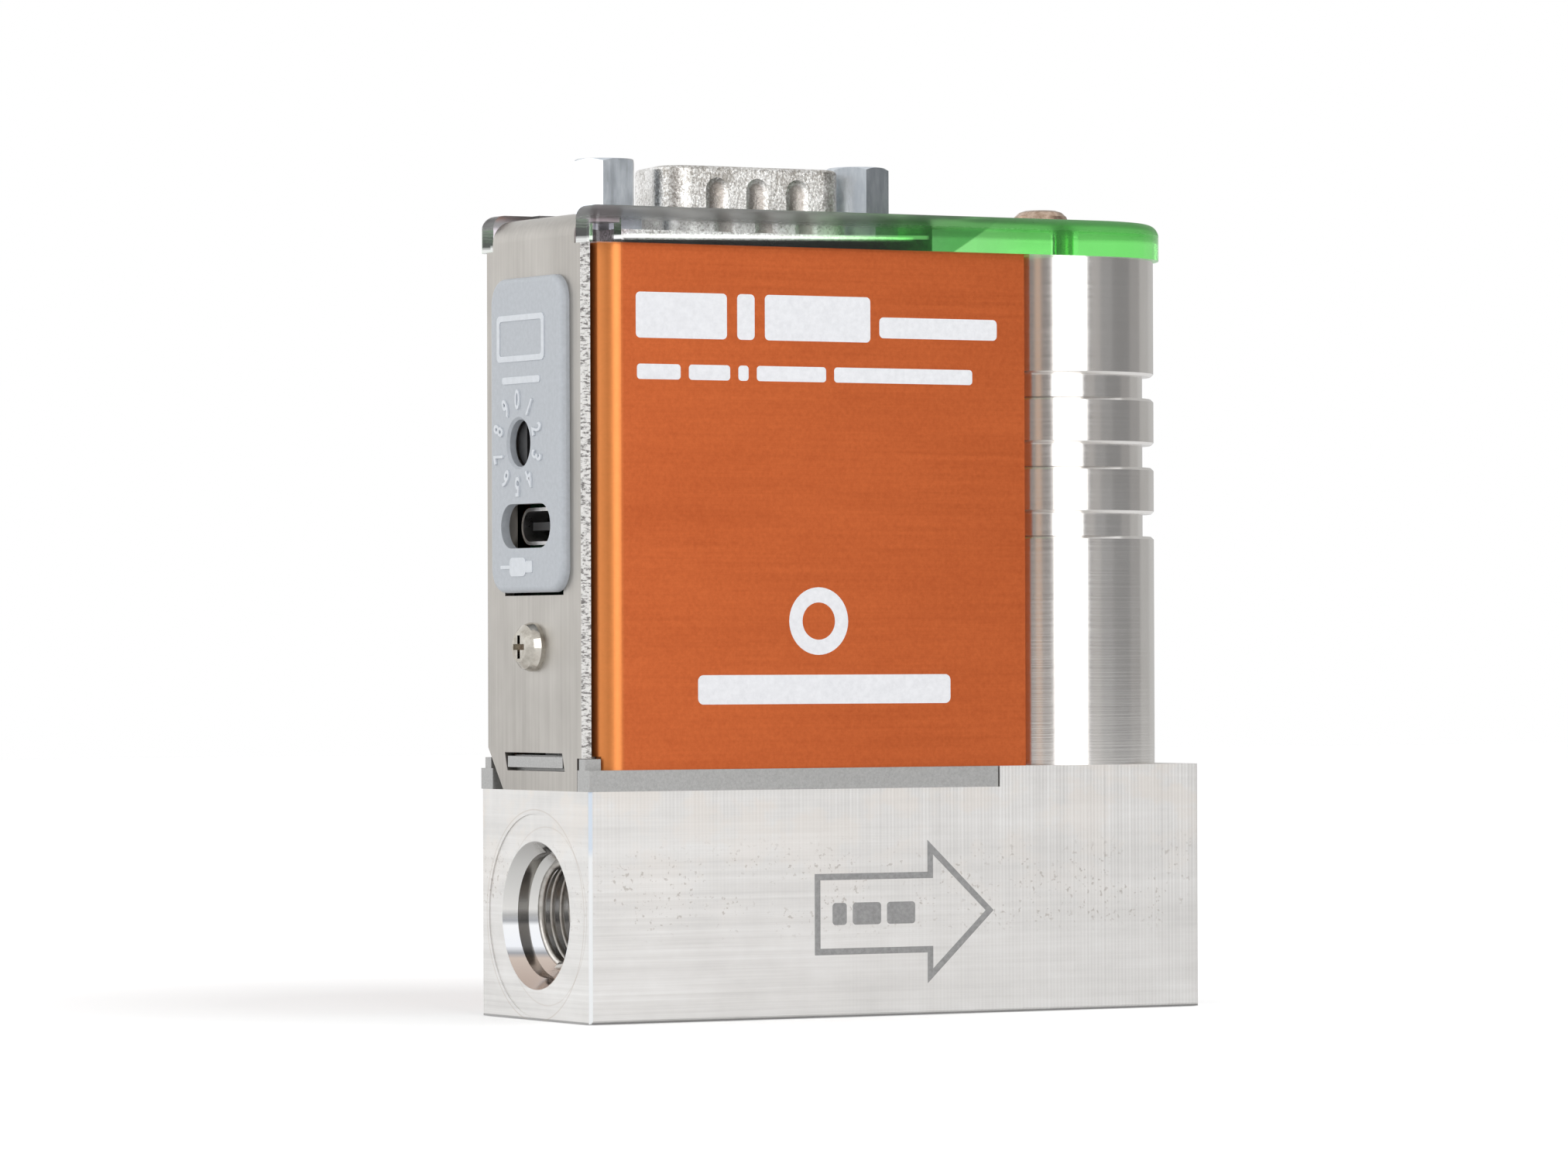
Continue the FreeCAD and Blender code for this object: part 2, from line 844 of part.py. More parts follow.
# Adapter frame: a ring on the low part of the block, with a sill and lug behind the end cover,
# two corner posts and a threaded tab for the end cover's screw

sheet_inner = block_left + size.sheet_thickness
frame_window = block_left + size.frame_window_left
frame_window_end = frame_right - size.frame_window_right
sill_back = sheet_inner + size.screw_play
tab_front = block_left + size.tab_setback


def make_frame():
    body = new_body()
    plan = sketch_on(body, "XY_Plane", (0, 0, low_deck))
    draw_polygon(plan, [
        (block_left, block_front), (frame_right, block_front), (frame_right, block_back),
        (block_left, block_back), (block_left, half_sill), (sill_back, half_sill),
        (sill_back, -half_sill), (block_left, -half_sill),
    ])
    half_window = size.frame_window_width / 2
    draw_rectangle(plan, (frame_window, -half_window), (frame_window_end, half_window))
    pad(body, plan, deck - low_deck)
    sill = sketch_on(body, "XY_Plane", (0, 0, deck))
    draw_rectangle(sill, (sill_back, -half_sill), (tab_front + size.tab_thickness / 2, half_sill))
    pad(body, sill, size.sill_height)
    tab = sketch_on(body, "XY_Plane", (0, 0, deck))
    draw_rectangle(
        tab, (tab_front, -size.tab_width / 2), (tab_front + size.tab_thickness, size.tab_width / 2)
    )
    pad(body, tab, size.tab_height)
    lug = sketch_on(body, "YZ_Plane", (0, 0, block_left + size.screw_play))
    draw_rectangle(
        lug, (-size.lug_width / 2, low_deck + size.lug_bottom),
        (size.lug_width / 2, low_deck + size.lug_bottom + size.lug_height),
    )
    pad(body, lug, size.sheet_thickness)
    for side in (-1, 1):
        post = sketch_on(body, "XY_Plane", (0, 0, deck))
        outer = block_back - size.post_side_step
        corners = [side * (outer - size.post_width), side * outer]
        low, high = corners if side > 0 else corners[::-1]
        draw_rectangle(post, (block_left, low), (block_left + size.post_length, high))
        pad(body, post, size.post_height)
    drill(body, frame_screw_places, screw_hole, deck, deck - low_deck)
    screw_seat = sketch_on(body, "YZ_Plane", (0, 0, tab_front + size.tab_thickness))
    draw_circle(screw_seat, (0, cover_screw_height), screw_hole)
    pocket(body, screw_seat, size.tab_thickness)
    return body


def countersink(x, y):
    """The cone that lets a countersunk head sit flush."""
    head_height = size.countersunk_head_radius - size.screw_radius
    return cone(
        screw_hole, size.countersunk_head_radius + size.screw_play, (x, y, deck - head_height), head_height
    )


node("adapter_frame", cut(make_frame(), *[countersink(x, y) for x, y in frame_screw_places]))
node("frame_screws", group(*[countersunk_screw(x, y, deck) for x, y in frame_screw_places]))


# End cover: bent stainless sheet on the left end, with a tongue that folds over the top

panel_top = panel_bottom + size.panel_height
half_tongue = end_half_width - size.end_cover_tongue_step
tongue_top = cover_top + size.end_cover_tongue_rise
lip_end = dsub_centre - flange_half_length - size.end_cover_lip_gap


def make_end_cover():
    half_width = end_half_width
    half_tab = end_half_tab
    shoulder = deck + size.end_cover_shoulder_rise
    body = new_body()
    front = sketch_on(body, "YZ_Plane", (0, 0, block_left))
    draw_polygon(front, [
        (-half_tab, low_deck),
        (half_width - size.end_cover_slope_run, low_deck),
        (half_width, low_deck + size.end_cover_slope_rise),
        (half_width, cover_top),
        (half_tongue, cover_top),
        (half_tongue, tongue_top),
        (-half_tongue, tongue_top),
        (-half_tongue, cover_top),
        (-half_width, cover_top),
        (-half_width, shoulder),
        (-half_tab, shoulder),
    ])
    pad(body, front, size.sheet_thickness)
    lip = sketch_on(body, "YZ_Plane", (0, 0, block_left))
    draw_rectangle(
        lip, (-half_tongue, tongue_top - size.sheet_thickness), (half_tongue, tongue_top)
    )
    pad(body, lip, lip_end - block_left)
    inner_top = tongue_top - size.sheet_thickness
    soften(body, "Fillet", size.end_cover_bend_radius - size.sheet_thickness, lambda edge: (
        close_to(edge.BoundBox.Center.x, sheet_inner) and close_to(edge.BoundBox.Center.z, inner_top)
        and edge.BoundBox.YLength > half_tongue.value
    ))
    soften(body, "Fillet", size.end_cover_bend_radius, lambda edge: (
        close_to(edge.BoundBox.Center.x, block_left) and close_to(edge.BoundBox.Center.z, tongue_top)
    ))
    openings = sketch_on(body, "YZ_Plane", (0, 0, sheet_inner))
    slot_low = low_deck + size.slot_bottom
    slot_high = slot_low + size.slot_height
    half_slot = size.lug_width / 2 + size.slot_play
    draw_polygon(openings, [
        (-half_slot, slot_low), (half_slot - size.slot_lean, slot_low),
        (half_slot, slot_high), (-half_slot + size.slot_lean, slot_high),
    ])
    draw_rectangle(
        openings, (-size.pry_slot_width / 2, panel_bottom - size.pry_slot_below),
        (size.pry_slot_width / 2, panel_bottom + size.pry_slot_above),
    )
    draw_rectangle(
        openings, (-size.usb_slot_width / 2 - size.rotor_gap, usb_height - size.usb_slot_height / 2),
        (size.usb_slot_width / 2 + size.rotor_gap, usb_height + size.usb_slot_height / 2),
    )
    draw_circle(openings, (dial_offset, dial_height), size.dial_rim_radius + size.rotor_gap)
    draw_circle(openings, (0, cover_screw_height), screw_hole)
    pocket(body, openings, size.sheet_thickness)
    return body


node("end_cover", make_end_cover())


def make_end_cover_screw():
    """A pan head screw along X with a cross recess."""
    face = block_left
    head = size.cover_screw_head_radius
    crown = face - size.cover_screw_head_height
    screw = turned_along_x([
        (crown, 0), (crown, size.cover_screw_crown_radius),
        (crown + size.cover_screw_shoulder_drop, size.cover_screw_shoulder_radius),
        (crown + size.cover_screw_rim_drop, head), (face, head), (face, size.screw_radius),
        (face + size.cover_screw_length, size.screw_radius), (face + size.cover_screw_length, 0),
    ], (0, 0, cover_screw_height))
    half_width = size.recess_width / 2
    half_length = size.recess_length / 2
    centre = cover_screw_height
    floor = crown + size.recess_depth
    recess = fuse(
        box((crown, -half_width, centre - half_length), (floor, half_width, centre + half_length)),
        box((crown, -half_length, centre - half_width), (floor, half_length, centre + half_width)),
    )
    return cut(screw, recess)


node("end_cover_screw", make_end_cover_screw())


# Access panel on the end cover, with the dial hole and the USB slot

panel_face = block_left - size.panel_thickness


def make_panel():
    half_width = size.panel_width / 2
    body = new_body()
    plan = sketch_on(body, "YZ_Plane", (0, 0, panel_face))
    draw_rectangle(plan, (-half_width, panel_bottom), (half_width, panel_top))
    pad(body, plan, size.panel_thickness)
    soften(body, "Fillet", size.panel_corner_radius, lambda edge: edge.BoundBox.XLength > 1e-3)
    soften(body, "Fillet", size.panel_edge_radius, lambda edge: (
        edge.BoundBox.XLength < 1e-4 and close_to(edge.BoundBox.Center.x, panel_face)
    ))
    openings = sketch_on(body, "YZ_Plane", (0, 0, block_left))
    draw_circle(openings, (dial_offset, dial_height), size.dial_hole_radius)
    slot_radius = size.usb_slot_height / 2
    half_slot = size.usb_slot_width / 2 - slot_radius
    draw_rectangle(openings, (-half_slot, usb_height - slot_radius), (half_slot, usb_height + slot_radius))
    pocket(body, openings, size.panel_thickness)
    slot_ends = sketch_on(body, "YZ_Plane", (0, 0, block_left))
    for side in (-1, 1):
        draw_circle(slot_ends, (side * half_slot, usb_height), slot_radius)
    pocket(body, slot_ends, size.panel_thickness)
    soften(body, "Chamfer", size.dial_rim_radius - size.dial_hole_radius, lambda edge: (
        close_to(edge.BoundBox.Center.x, panel_face) and close_to(edge.BoundBox.Center.y, dial_offset)
        and close_to(edge.BoundBox.ZLength, 2 * size.dial_hole_radius)
    ))
    return body


node("access_panel", make_panel())


# Main cover: front, left and back walls in one piece, with narrow returns towards the tower

def make_main_cover():
    body = new_body()
    plan = sketch_on(body, "XY_Plane", (0, 0, deck))
    draw_rectangle(plan, (cover_left, cover_front), (cover_right, cover_back))
    pad(body, plan, size.cover_height)
    soften(body, "Fillet", size.cover_bend_radius, lambda edge: (
        is_upright(edge) and close_to(edge.BoundBox.Center.x, cover_left)
    ))
    wall = size.cover_wall
    hollow = sketch_on(body, "XY_Plane", (0, 0, cover_top))
    draw_rectangle(hollow, (cover_inner_left, cover_front + wall), (cover_right - wall, cover_back - wall))
    pocket(body, hollow, size.cover_height)
    soften(body, "Fillet", size.cover_bend_radius - wall, lambda edge: (
        is_upright(edge) and close_to(edge.BoundBox.Center.x, cover_inner_left)
    ))
    mouth = sketch_on(body, "XY_Plane", (0, 0, cover_top))
    draw_rectangle(
        mouth, (cover_right - wall, cover_front + size.cover_return),
        (cover_right, cover_back - size.cover_return),
    )
    pocket(body, mouth, size.cover_height)
    window = sketch_on(body, "YZ_Plane", (0, 0, cover_inner_left))
    half_window = size.cover_window_width / 2
    draw_rectangle(
        window, (-half_window, deck + size.cover_window_bottom),
        (half_window, cover_top - size.cover_window_top),
    )
    half_gate = end_half_tab + size.cover_sill_gap
    draw_rectangle(window, (-half_gate, deck), (half_gate, deck + size.sill_height + size.cover_sill_gap))
    pocket(body, window, wall)
    notch_right = block_left + size.post_length + size.cover_sill_gap
    notch_top = deck + size.post_height + size.cover_sill_gap
    depth = cover_back - end_half_tab + size.cover_sill_gap
    for height, along_normal in ((cover_back, False), (cover_front, True)):
        notch = sketch_on(body, "XZ_Plane", (0, 0, height))
        draw_rectangle(notch, (cover_left, deck), (notch_right, notch_top))
        pocket(body, notch, depth, along_normal)
    return body


node("main_cover", make_main_cover())


# Connector plate inside the top of the main cover

led_place = (frame_right - size.led_inset, board_front - size.led_radius)
plate_top = cover_top
plate_bottom = cover_top - size.plate_thickness


def make_connector_plate():
    half_width = cover_back - size.cover_wall - size.plate_play
    body = new_body()
    plan = sketch_on(body, "XY_Plane", (0, 0, plate_bottom))
    draw_rectangle(plan, (cover_inner_left + size.plate_play, -half_width), (frame_right, half_width))
    half_length = size.dsub_shell_length / 2 - size.dsub_shell_wall
    half_shell = size.dsub_shell_width / 2 - size.dsub_shell_wall
    draw_rectangle(
        plan, (dsub_centre - half_length, -half_shell), (dsub_centre + half_length, half_shell)
    )
    pad(body, plan, size.plate_thickness)
    soften(body, "Fillet", size.cover_bend_radius - size.cover_wall, lambda edge: (
        is_upright(edge) and close_to(edge.BoundBox.Center.x, cover_inner_left + size.plate_play)
    ))
    studs = [(x, 0) for x in dsub_screw_places]
    drill(body, studs, size.jackscrew_stud_radius + size.screw_play, plate_top, size.plate_thickness)
    drill(body, [led_place], size.led_radius + size.plate_play, plate_top, size.plate_thickness)
    return body


node("connector_plate", make_connector_plate())


# D-sub connector: flanged shell, insulator, nine pins and two jackscrews

def shell_corners(inset):
    """The connector's tapered outline, wide towards the front, moved inward by an inset."""
    lean = math.radians(size.dsub_side_angle.value)
    slant = math.tan(lean)
    long_side = size.dsub_shell_length / 2 - inset * (1 / math.cos(lean))
    half_width = size.dsub_shell_width / 2 - inset
    front_half = long_side - inset * slant
    back_half = front_half - 2 * slant * half_width
    centre = dsub_centre
    return [
        (centre - front_half, -half_width), (centre + front_half, -half_width),
        (centre + back_half, half_width), (centre - back_half, half_width),
    ]


def tapered_plug(bottom, top, inset):
    """A block with the connector's tapered outline and rounded corners."""
    body = new_body()
    outline = sketch_on(body, "XY_Plane", (0, 0, bottom))
    draw_polygon(outline, shell_corners(as_length(inset)))
    pad(body, outline, top - bottom)
    soften(body, "Fillet", size.dsub_shell_radius - inset, is_upright)
    return body


def dimple(x, shell_top):
    """A shallow dent up the shell's front, with a round top, that grips the mating plug."""
    half_width = size.dimple_width.value / 2
    depth = size.dimple_depth.value
    radius = (half_width ** 2 + depth ** 2) / (2 * depth)
    y = -size.dsub_shell_width / 2 - radius + size.dimple_depth
    top = shell_top - size.dimple_top_gap - size.dimple_width / 2
    crown = document.addObject("Part::Sphere", "Crown")
    bind(crown, "Radius", radius)
    move_to(crown, (x, y, top))
    return fuse(rod(radius, (x, y, flange_top), top - flange_top), crown)


def make_dsub_shell():
    shell_top = flange_top + size.dsub_shell_height
    flange = new_body()
    plan = sketch_on(flange, "XY_Plane", (0, 0, cover_top))
    draw_rectangle(
        plan, (dsub_centre - flange_half_length, -flange_half_width),
        (dsub_centre + flange_half_length, flange_half_width),
    )
    pad(flange, plan, size.dsub_flange_thickness)
    drill(
        flange, [(x, 0) for x in dsub_screw_places], size.jackscrew_stud_radius + size.screw_play,
        flange_top, size.dsub_flange_thickness,
    )
    collar = tapered_plug(cover_top, shell_top, 0)
    soften(collar, "Fillet", size.dsub_lip_radius, lambda edge: close_to(edge.BoundBox.ZMin, shell_top))
    inside = tapered_plug(cover_top, shell_top, size.dsub_shell_wall)
    dimples = [dimple(dsub_centre + number * size.dimple_pitch, shell_top) for number in (-1, 0, 1)]
    return cut(fuse(flange, collar), inside, *dimples)


pin_places = [
    (dsub_centre + (number - 2) * size.pin_pitch, -size.pin_row_spacing / 2) for number in range(5)
] + [
    (dsub_centre + (number - 1.5) * size.pin_pitch, size.pin_row_spacing / 2) for number in range(4)
]


def make_insulator():
    floor = plate_bottom - size.insulator_back_depth
    top = cover_top + size.insulator_front_height
    body = tapered_plug(floor, top, size.dsub_shell_wall + size.dsub_play)
    drill(body, pin_places, size.pin_radius, top, top - floor)
    return body


def pin(x, y):
    """A contact pin with a rounded tip."""
    top = flange_top + size.pin_tip_height - size.pin_radius
    bottom = plate_bottom - size.pin_tail_depth
    tip = document.addObject("Part::Sphere", "Tip")
    bind(tip, "Radius", size.pin_radius)
    move_to(tip, (x, y, top))
    return fuse(rod(size.pin_radius, (x, y, bottom), top - bottom), tip)


def jackscrew(x, turn):
    """A hexagonal screwlock with a threaded hole in its top and a stud below."""
    prism = document.addObject("Part::Prism", "Hexagon")
    prism.Polygon = 6
    bind(prism, "Circumradius", jackscrew_corner)
    bind(prism, "Height", size.jackscrew_height)
    prism.Placement = Placement(Vector(), Rotation(Vector(0, 0, 1), turn))
    move_to(prism, (x, 0, flange_top))
    top = flange_top + size.jackscrew_height
    bevel = (jackscrew_corner - size.jackscrew_flats / 2) + size.screw_play
    envelope = turned([
        (0, flange_top), (jackscrew_corner, flange_top),
        (jackscrew_corner, top - size.jackscrew_bevel_height),
        (jackscrew_corner - bevel, top), (0, top),
    ], (x, 0, 0))
    head = document.addObject("Part::Common", "Head")
    head.Base = prism
    head.Tool = envelope
    stud_length = size.jackscrew_stud_length
    stud = rod(size.jackscrew_stud_radius, (x, 0, flange_top - stud_length), stud_length)
    hole_depth = size.jackscrew_hole_depth
    hole = rod(size.jackscrew_hole_radius, (x, 0, top - hole_depth), hole_depth)
    return cut(fuse(head, stud), hole)


node("dsub_shell", make_dsub_shell())
node("dsub_insulator", make_insulator())
node("dsub_pins", group(*[pin(x, y) for x, y in pin_places]))
node("dsub_jackscrews", group(
    jackscrew(dsub_screw_places[0], 0),
    jackscrew(dsub_screw_places[1], size.jackscrew_turn.value),
))


# Top lens: clear cover that lies on the main cover, the connector plate and the tower

lens_left = block_left + size.lens_setback
lens_top = cover_top + size.lens_height
lens_notch_play = size.screw_play * 2


def make_lens():
    half_width = block_back + size.lens_overhang
    body = new_body()
    plan = sketch_on(body, "XY_Plane", (0, 0, cover_top))
    draw_rectangle(plan, (lens_left, -half_width), (tower_axis, half_width))
    pad(body, plan, size.lens_height)
    soften(body, "Fillet", size.lens_corner_radius, lambda edge: (
        is_upright(edge) and close_to(edge.BoundBox.Center.x, lens_left)
    ))
    end = sketch_on(body, "XY_Plane", (0, 0, cover_top))
    draw_circle(end, (tower_axis, 0), half_width)
    pad(body, end, size.lens_height)
    soften(body, "Fillet", size.lens_edge_radius, lambda edge: close_to(edge.BoundBox.ZMin, lens_top))
    half_well_length = flange_half_length + size.plate_play
    half_well_width = flange_half_width + size.plate_play
    well = sketch_on(body, "XY_Plane", (0, 0, lens_top))
    draw_rectangle(
        well, (dsub_centre - half_well_length, -half_well_width),
        (dsub_centre + half_well_length, half_well_width),
    )
    pocket(body, well, size.lens_height)
    half_notch = half_tongue + lens_notch_play
    notch = sketch_on(body, "XY_Plane", (0, 0, lens_top))
    draw_rectangle(notch, (lens_left, -half_notch), (lip_end + lens_notch_play, half_notch))
    pocket(body, notch, size.lens_height)
    screw_way = size.lens_screw_radius + size.lens_screw_play
    drill(body, [(tower_axis, 0)], screw_way, lens_top, size.lens_height)
    return body


node("top_lens", make_lens())


def make_lens_screw():
    """A button head screw that clamps the lens and the tower on the pole piece."""
    head = size.lens_head_radius
    crown = lens_top + size.lens_head_height
    body = turned([
        (0, lens_top - size.lens_screw_length), (size.lens_screw_radius, lens_top - size.lens_screw_length),
        (size.lens_screw_radius, lens_top), (head, lens_top), (head, lens_top + size.lens_head_rim_height),
        (size.lens_head_shoulder_radius, lens_top + size.lens_head_shoulder_height),
        (size.lens_head_slope_radius, lens_top + size.lens_head_slope_height),
        (size.lens_head_crown_radius, crown), (0, crown),
    ], (tower_axis, 0, 0))
    socket = document.addObject("Part::Prism", "Socket")
    socket.Polygon = 6
    bind(socket, "Circumradius", size.lens_head_socket / (2 * math.cos(math.pi / 6)))
    bind(socket, "Height", size.lens_head_socket_depth)
    move_to(socket, (tower_axis, 0, crown - size.lens_head_socket_depth))
    return cut(body, socket)


node("lens_screw", make_lens_screw())


# Valve tower: turned coil housing with three grooves, and the solenoid valve inside it

cap_bottom = cover_top - size.tower_cap
tower_cavity = tower_radius - size.tower_wall
core_flange = tower_cavity - size.core_flange_play


def make_tower():
    outer = tower_radius
    inner = outer - size.groove_depth
    bevel = size.groove_chamfer
    outline = [(tower_cavity, deck), (outer, deck)]
    for number in range(3):
        low = deck + size.groove_start + number * size.groove_pitch
        high = low + size.groove_height
        outline += [
            (outer, low - bevel), (outer - bevel, low), (inner, low),
            (inner, high), (outer - bevel, high), (outer, high + bevel),
        ]
    hole = size.lens_screw_radius + size.lens_screw_play
    outline += [
        (outer, cover_top), (hole, cover_top), (hole, cap_bottom), (tower_cavity, cap_bottom),
    ]
    return turned(outline, (tower_axis, 0, 0))


node("valve_tower", make_tower())

pole_bottom = cap_bottom - size.pole_length
plunger_top = pole_bottom - size.valve_lift - size.screw_play
spigot_bottom = deck - size.spigot_length
orifice_top = cavity_floor + size.orifice_base_height + size.orifice_nozzle_height
plunger_bottom = orifice_top + size.seal_disc_thickness - size.seal_disc_sink
core_top = cap_bottom - size.core_top_gap

node("core_tube", turned([
    (size.core_bore_radius, spigot_bottom), (size.cavity_radius - size.spigot_play, spigot_bottom),
    (size.cavity_radius - size.spigot_play, deck), (core_flange, deck),
    (core_flange, deck + size.core_flange_height),
    (size.core_tube_radius, deck + size.core_flange_height),
    (size.core_tube_radius, core_top), (size.core_bore_radius, core_top),
], (tower_axis, 0, 0)))

pole_thread = size.lens_screw_radius + size.screw_play
pole_thread_depth = size.lens_screw_length - size.lens_height - size.tower_cap + size.screw_radius
node("pole_piece", turned([
    (0, pole_bottom), (size.core_bore_radius - size.screw_play, pole_bottom),
    (size.core_bore_radius - size.screw_play, cap_bottom), (pole_thread, cap_bottom),
    (pole_thread, cap_bottom - pole_thread_depth), (0, cap_bottom - pole_thread_depth),
], (tower_axis, 0, 0)))

node("plunger", turned([
    (0, plunger_bottom + size.seal_disc_sink),
    (size.seal_disc_radius + size.screw_play, plunger_bottom + size.seal_disc_sink),
    (size.seal_disc_radius + size.screw_play, plunger_bottom),
    (size.core_bore_radius - size.core_play, plunger_bottom),
    (size.core_bore_radius - size.core_play, plunger_top),
    (size.spring_seat_radius, plunger_top),
    (size.spring_seat_radius, plunger_top - size.spring_seat_depth),
    (0, plunger_top - size.spring_seat_depth),
], (tower_axis, 0, 0)))

node("seal_disc", rod(size.seal_disc_radius, (tower_axis, 0, orifice_top), size.seal_disc_thickness))

orifice = turned([
    (size.orifice_bore_radius, cavity_floor), (size.orifice_base_radius, cavity_floor),
    (size.orifice_base_radius, cavity_floor + size.orifice_base_height),
    (size.orifice_nozzle_radius, cavity_floor + size.orifice_base_height),
    (size.orifice_nozzle_radius, orifice_top), (size.orifice_bore_radius, orifice_top),
], (tower_axis, 0, 0))
node("valve_orifice", orifice)

valve_seal_section = (spigot_bottom - cavity_floor) / 2
node("valve_seal", ring(
    size.valve_seal_radius, valve_seal_section, (tower_axis, 0, cavity_floor + valve_seal_section)
))


def make_plunger_spring():
    """A coil spring between the plunger's seat and the pole piece, with flats round each turn."""
    wire = size.spring_wire_radius.value
    radius = size.spring_radius.value
    bottom = (plunger_top - size.spring_seat_depth + size.screw_play).value + wire
    height = pole_bottom.value - wire - bottom
    flats_per_turn = 12
    flats = round(size.spring_turns.value * flats_per_turn)
    turn = 2 * math.pi / flats_per_turn
    route = [
        Vector(radius * math.cos(turn * number), radius * math.sin(turn * number), height * number / flats)
        for number in range(flats + 1)
    ]
    outward = Vector(1, 0, 0)
    along = (route[1] - route[0]).normalize()
    across = along.cross(outward).normalize()
    corner_angles = [math.radians(60 * number + 30) for number in range(7)]
    section = Part.makePolygon([
        route[0] + outward * (wire * math.cos(angle)) + across * (wire * math.sin(angle))
        for angle in corner_angles
    ])
    sharp_corners = 1
    feature = document.addObject("Part::Feature", "Spring")
    feature.Shape = Part.makePolygon(route).makePipeShell([section], True, False, sharp_corners)
    feature.Placement = Placement(Vector(tower_axis.value, 0, bottom), Rotation())
    return feature


node("plunger_spring", make_plunger_spring())

bobbin_bottom = deck + size.core_flange_height
bobbin_top = cap_bottom - size.bobbin_top_gap
bobbin_bore = size.core_tube_radius + size.screw_play
bobbin_core = bobbin_bore + size.bobbin_wall
bobbin_radius = tower_cavity - size.bobbin_play
node("coil_bobbin", turned([
    (bobbin_bore, bobbin_bottom), (bobbin_radius, bobbin_bottom),
    (bobbin_radius, bobbin_bottom + size.bobbin_flange), (bobbin_core, bobbin_bottom + size.bobbin_flange),
    (bobbin_core, bobbin_top - size.bobbin_flange), (bobbin_radius, bobbin_top - size.bobbin_flange),
    (bobbin_radius, bobbin_top), (bobbin_bore, bobbin_top),
], (tower_axis, 0, 0)))
winding_outer = bobbin_radius - size.winding_play
node("coil_winding", turned([
    (bobbin_core, bobbin_bottom + size.bobbin_flange), (winding_outer, bobbin_bottom + size.bobbin_flange),
    (winding_outer, bobbin_top - size.bobbin_flange), (bobbin_core, bobbin_top - size.bobbin_flange),
], (tower_axis, 0, 0)))


# Electronics: main board, interface board, USB-C receptacle, address switch and status light

board_left = block_left + size.board_left
board_right = frame_right - size.frame_gap
board_bottom = deck + size.board_rise
node("main_board", box((board_left, board_front, board_bottom), (board_right, board_back, plate_bottom)))



def chip(middle, rise, side, height):
    """A square part on the board's front, round a middle that lies so far above its lower edge."""
    level = board_bottom + rise
    return box(
        (middle - side / 2, board_front - height, level - side / 2),
        (middle + side / 2, board_front, level + side / 2),
    )


node("board_components", group(
    chip(board_left + size.processor_place, size.processor_rise, size.processor_side, size.processor_height),
    chip(board_left + size.amplifier_place, size.amplifier_rise, size.amplifier_side, size.amplifier_height),
    chip(board_right - size.driver_inset, size.driver_rise, size.driver_side, size.driver_height),
    chip(board_right - size.regulator_inset, size.regulator_rise, size.regulator_side, size.regulator_height),
))

usb_front = block_left + size.usb_setback
usb_bottom = usb_height - size.usb_shell_height / 2
interface_left = cover_inner_left + size.plate_play
node("interface_board", box(
    (interface_left, -size.panel_width / 2, usb_bottom - size.interface_board_thickness),
    (interface_left + size.interface_board_length, board_front, usb_bottom),
))


def make_usb_shell():
    """A drawn steel shell with round sides, closed at the back."""
    radius = size.usb_shell_height / 2
    half = size.usb_shell_width / 2 - radius
    wall = size.usb_shell_wall

    def oblong(start, length, end_radius):
        return fuse(
            box((start, -half, usb_height - end_radius), (start + length, half, usb_height + end_radius)),
            rod(end_radius, (start, -half, usb_height), length, "x"),
            rod(end_radius, (start, half, usb_height), length, "x"),
        )

    return cut(
        oblong(usb_front, size.usb_shell_length, radius),
        oblong(usb_front, size.usb_shell_length - wall, radius - wall),
    )


node("usb_receptacle", make_usb_shell())
tongue_half_width = size.usb_tongue_width / 2
tongue_half_height = size.usb_tongue_thickness / 2
tongue_end = usb_front + size.usb_shell_length - size.usb_shell_wall
node("usb_tongue", box(
    (usb_front + size.usb_setback / 2, -tongue_half_width, usb_height - tongue_half_height),
    (tongue_end, tongue_half_width, usb_height + tongue_half_height),
))

switch_front = block_left + size.sheet_thickness + size.frame_gap
rotor_front = block_left + size.rotor_gap
half_switch = size.switch_side / 2
node("address_switch_body", cut(
    box(
        (switch_front, dial_offset - half_switch, dial_height - half_switch),
        (switch_front + size.switch_depth, dial_offset + half_switch, dial_height + half_switch),
    ),
    rod(
        size.rotor_radius + size.rotor_play, (switch_front, dial_offset, dial_height),
        rotor_front + size.rotor_length - switch_front, "x",
    ),
))
half_slot = size.rotor_slot_width / 2
slot_floor = rotor_front + size.rotor_slot_depth
node("address_switch_rotor", cut(
    rod(size.rotor_radius, (rotor_front, dial_offset, dial_height), size.rotor_length, "x"),
    box(
        (rotor_front, dial_offset - half_slot, dial_height - size.rotor_radius),
        (slot_floor, dial_offset + half_slot, dial_height + size.rotor_radius),
    ),
))
node("status_light", rod(
    size.led_radius, (*led_place, plate_top - size.led_height), size.led_height - size.plate_play,
))


# Check and write every sub-part

document.recompute()
for feature in document.Objects:
    if "Invalid" in feature.State or "Error" in feature.State:
        raise RuntimeError(f"{feature.Name} could not be worked out: {feature.State}")
os.makedirs("parts", exist_ok=True)
for feature in nodes:
    shape = feature.Shape
    if shape.isNull() or not shape.isValid() or not shape.Solids:
        raise RuntimeError(f"{feature.Label} is not a valid solid")
    shape.exportStep(f"parts/{feature.Label}.step")
    print(f"{feature.Label}: {len(shape.Solids)} solid(s), {shape.Volume:.1f} mm3")
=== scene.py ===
# %% [markdown]
# # A small gas flow meter with its control valve
# The object is a block of stainless steel that gas flows through, with an orange
# anodised cover over the sensor and a bright steel valve tower beside it. The solid
# pieces come from the construction model, already in place and at their real size in
# metres. This lesson gives each of them a finish, adds the fine things that sit on
# their surfaces, and sets up the studio round them.

import math

import bpy
from mathutils import Matrix, Vector


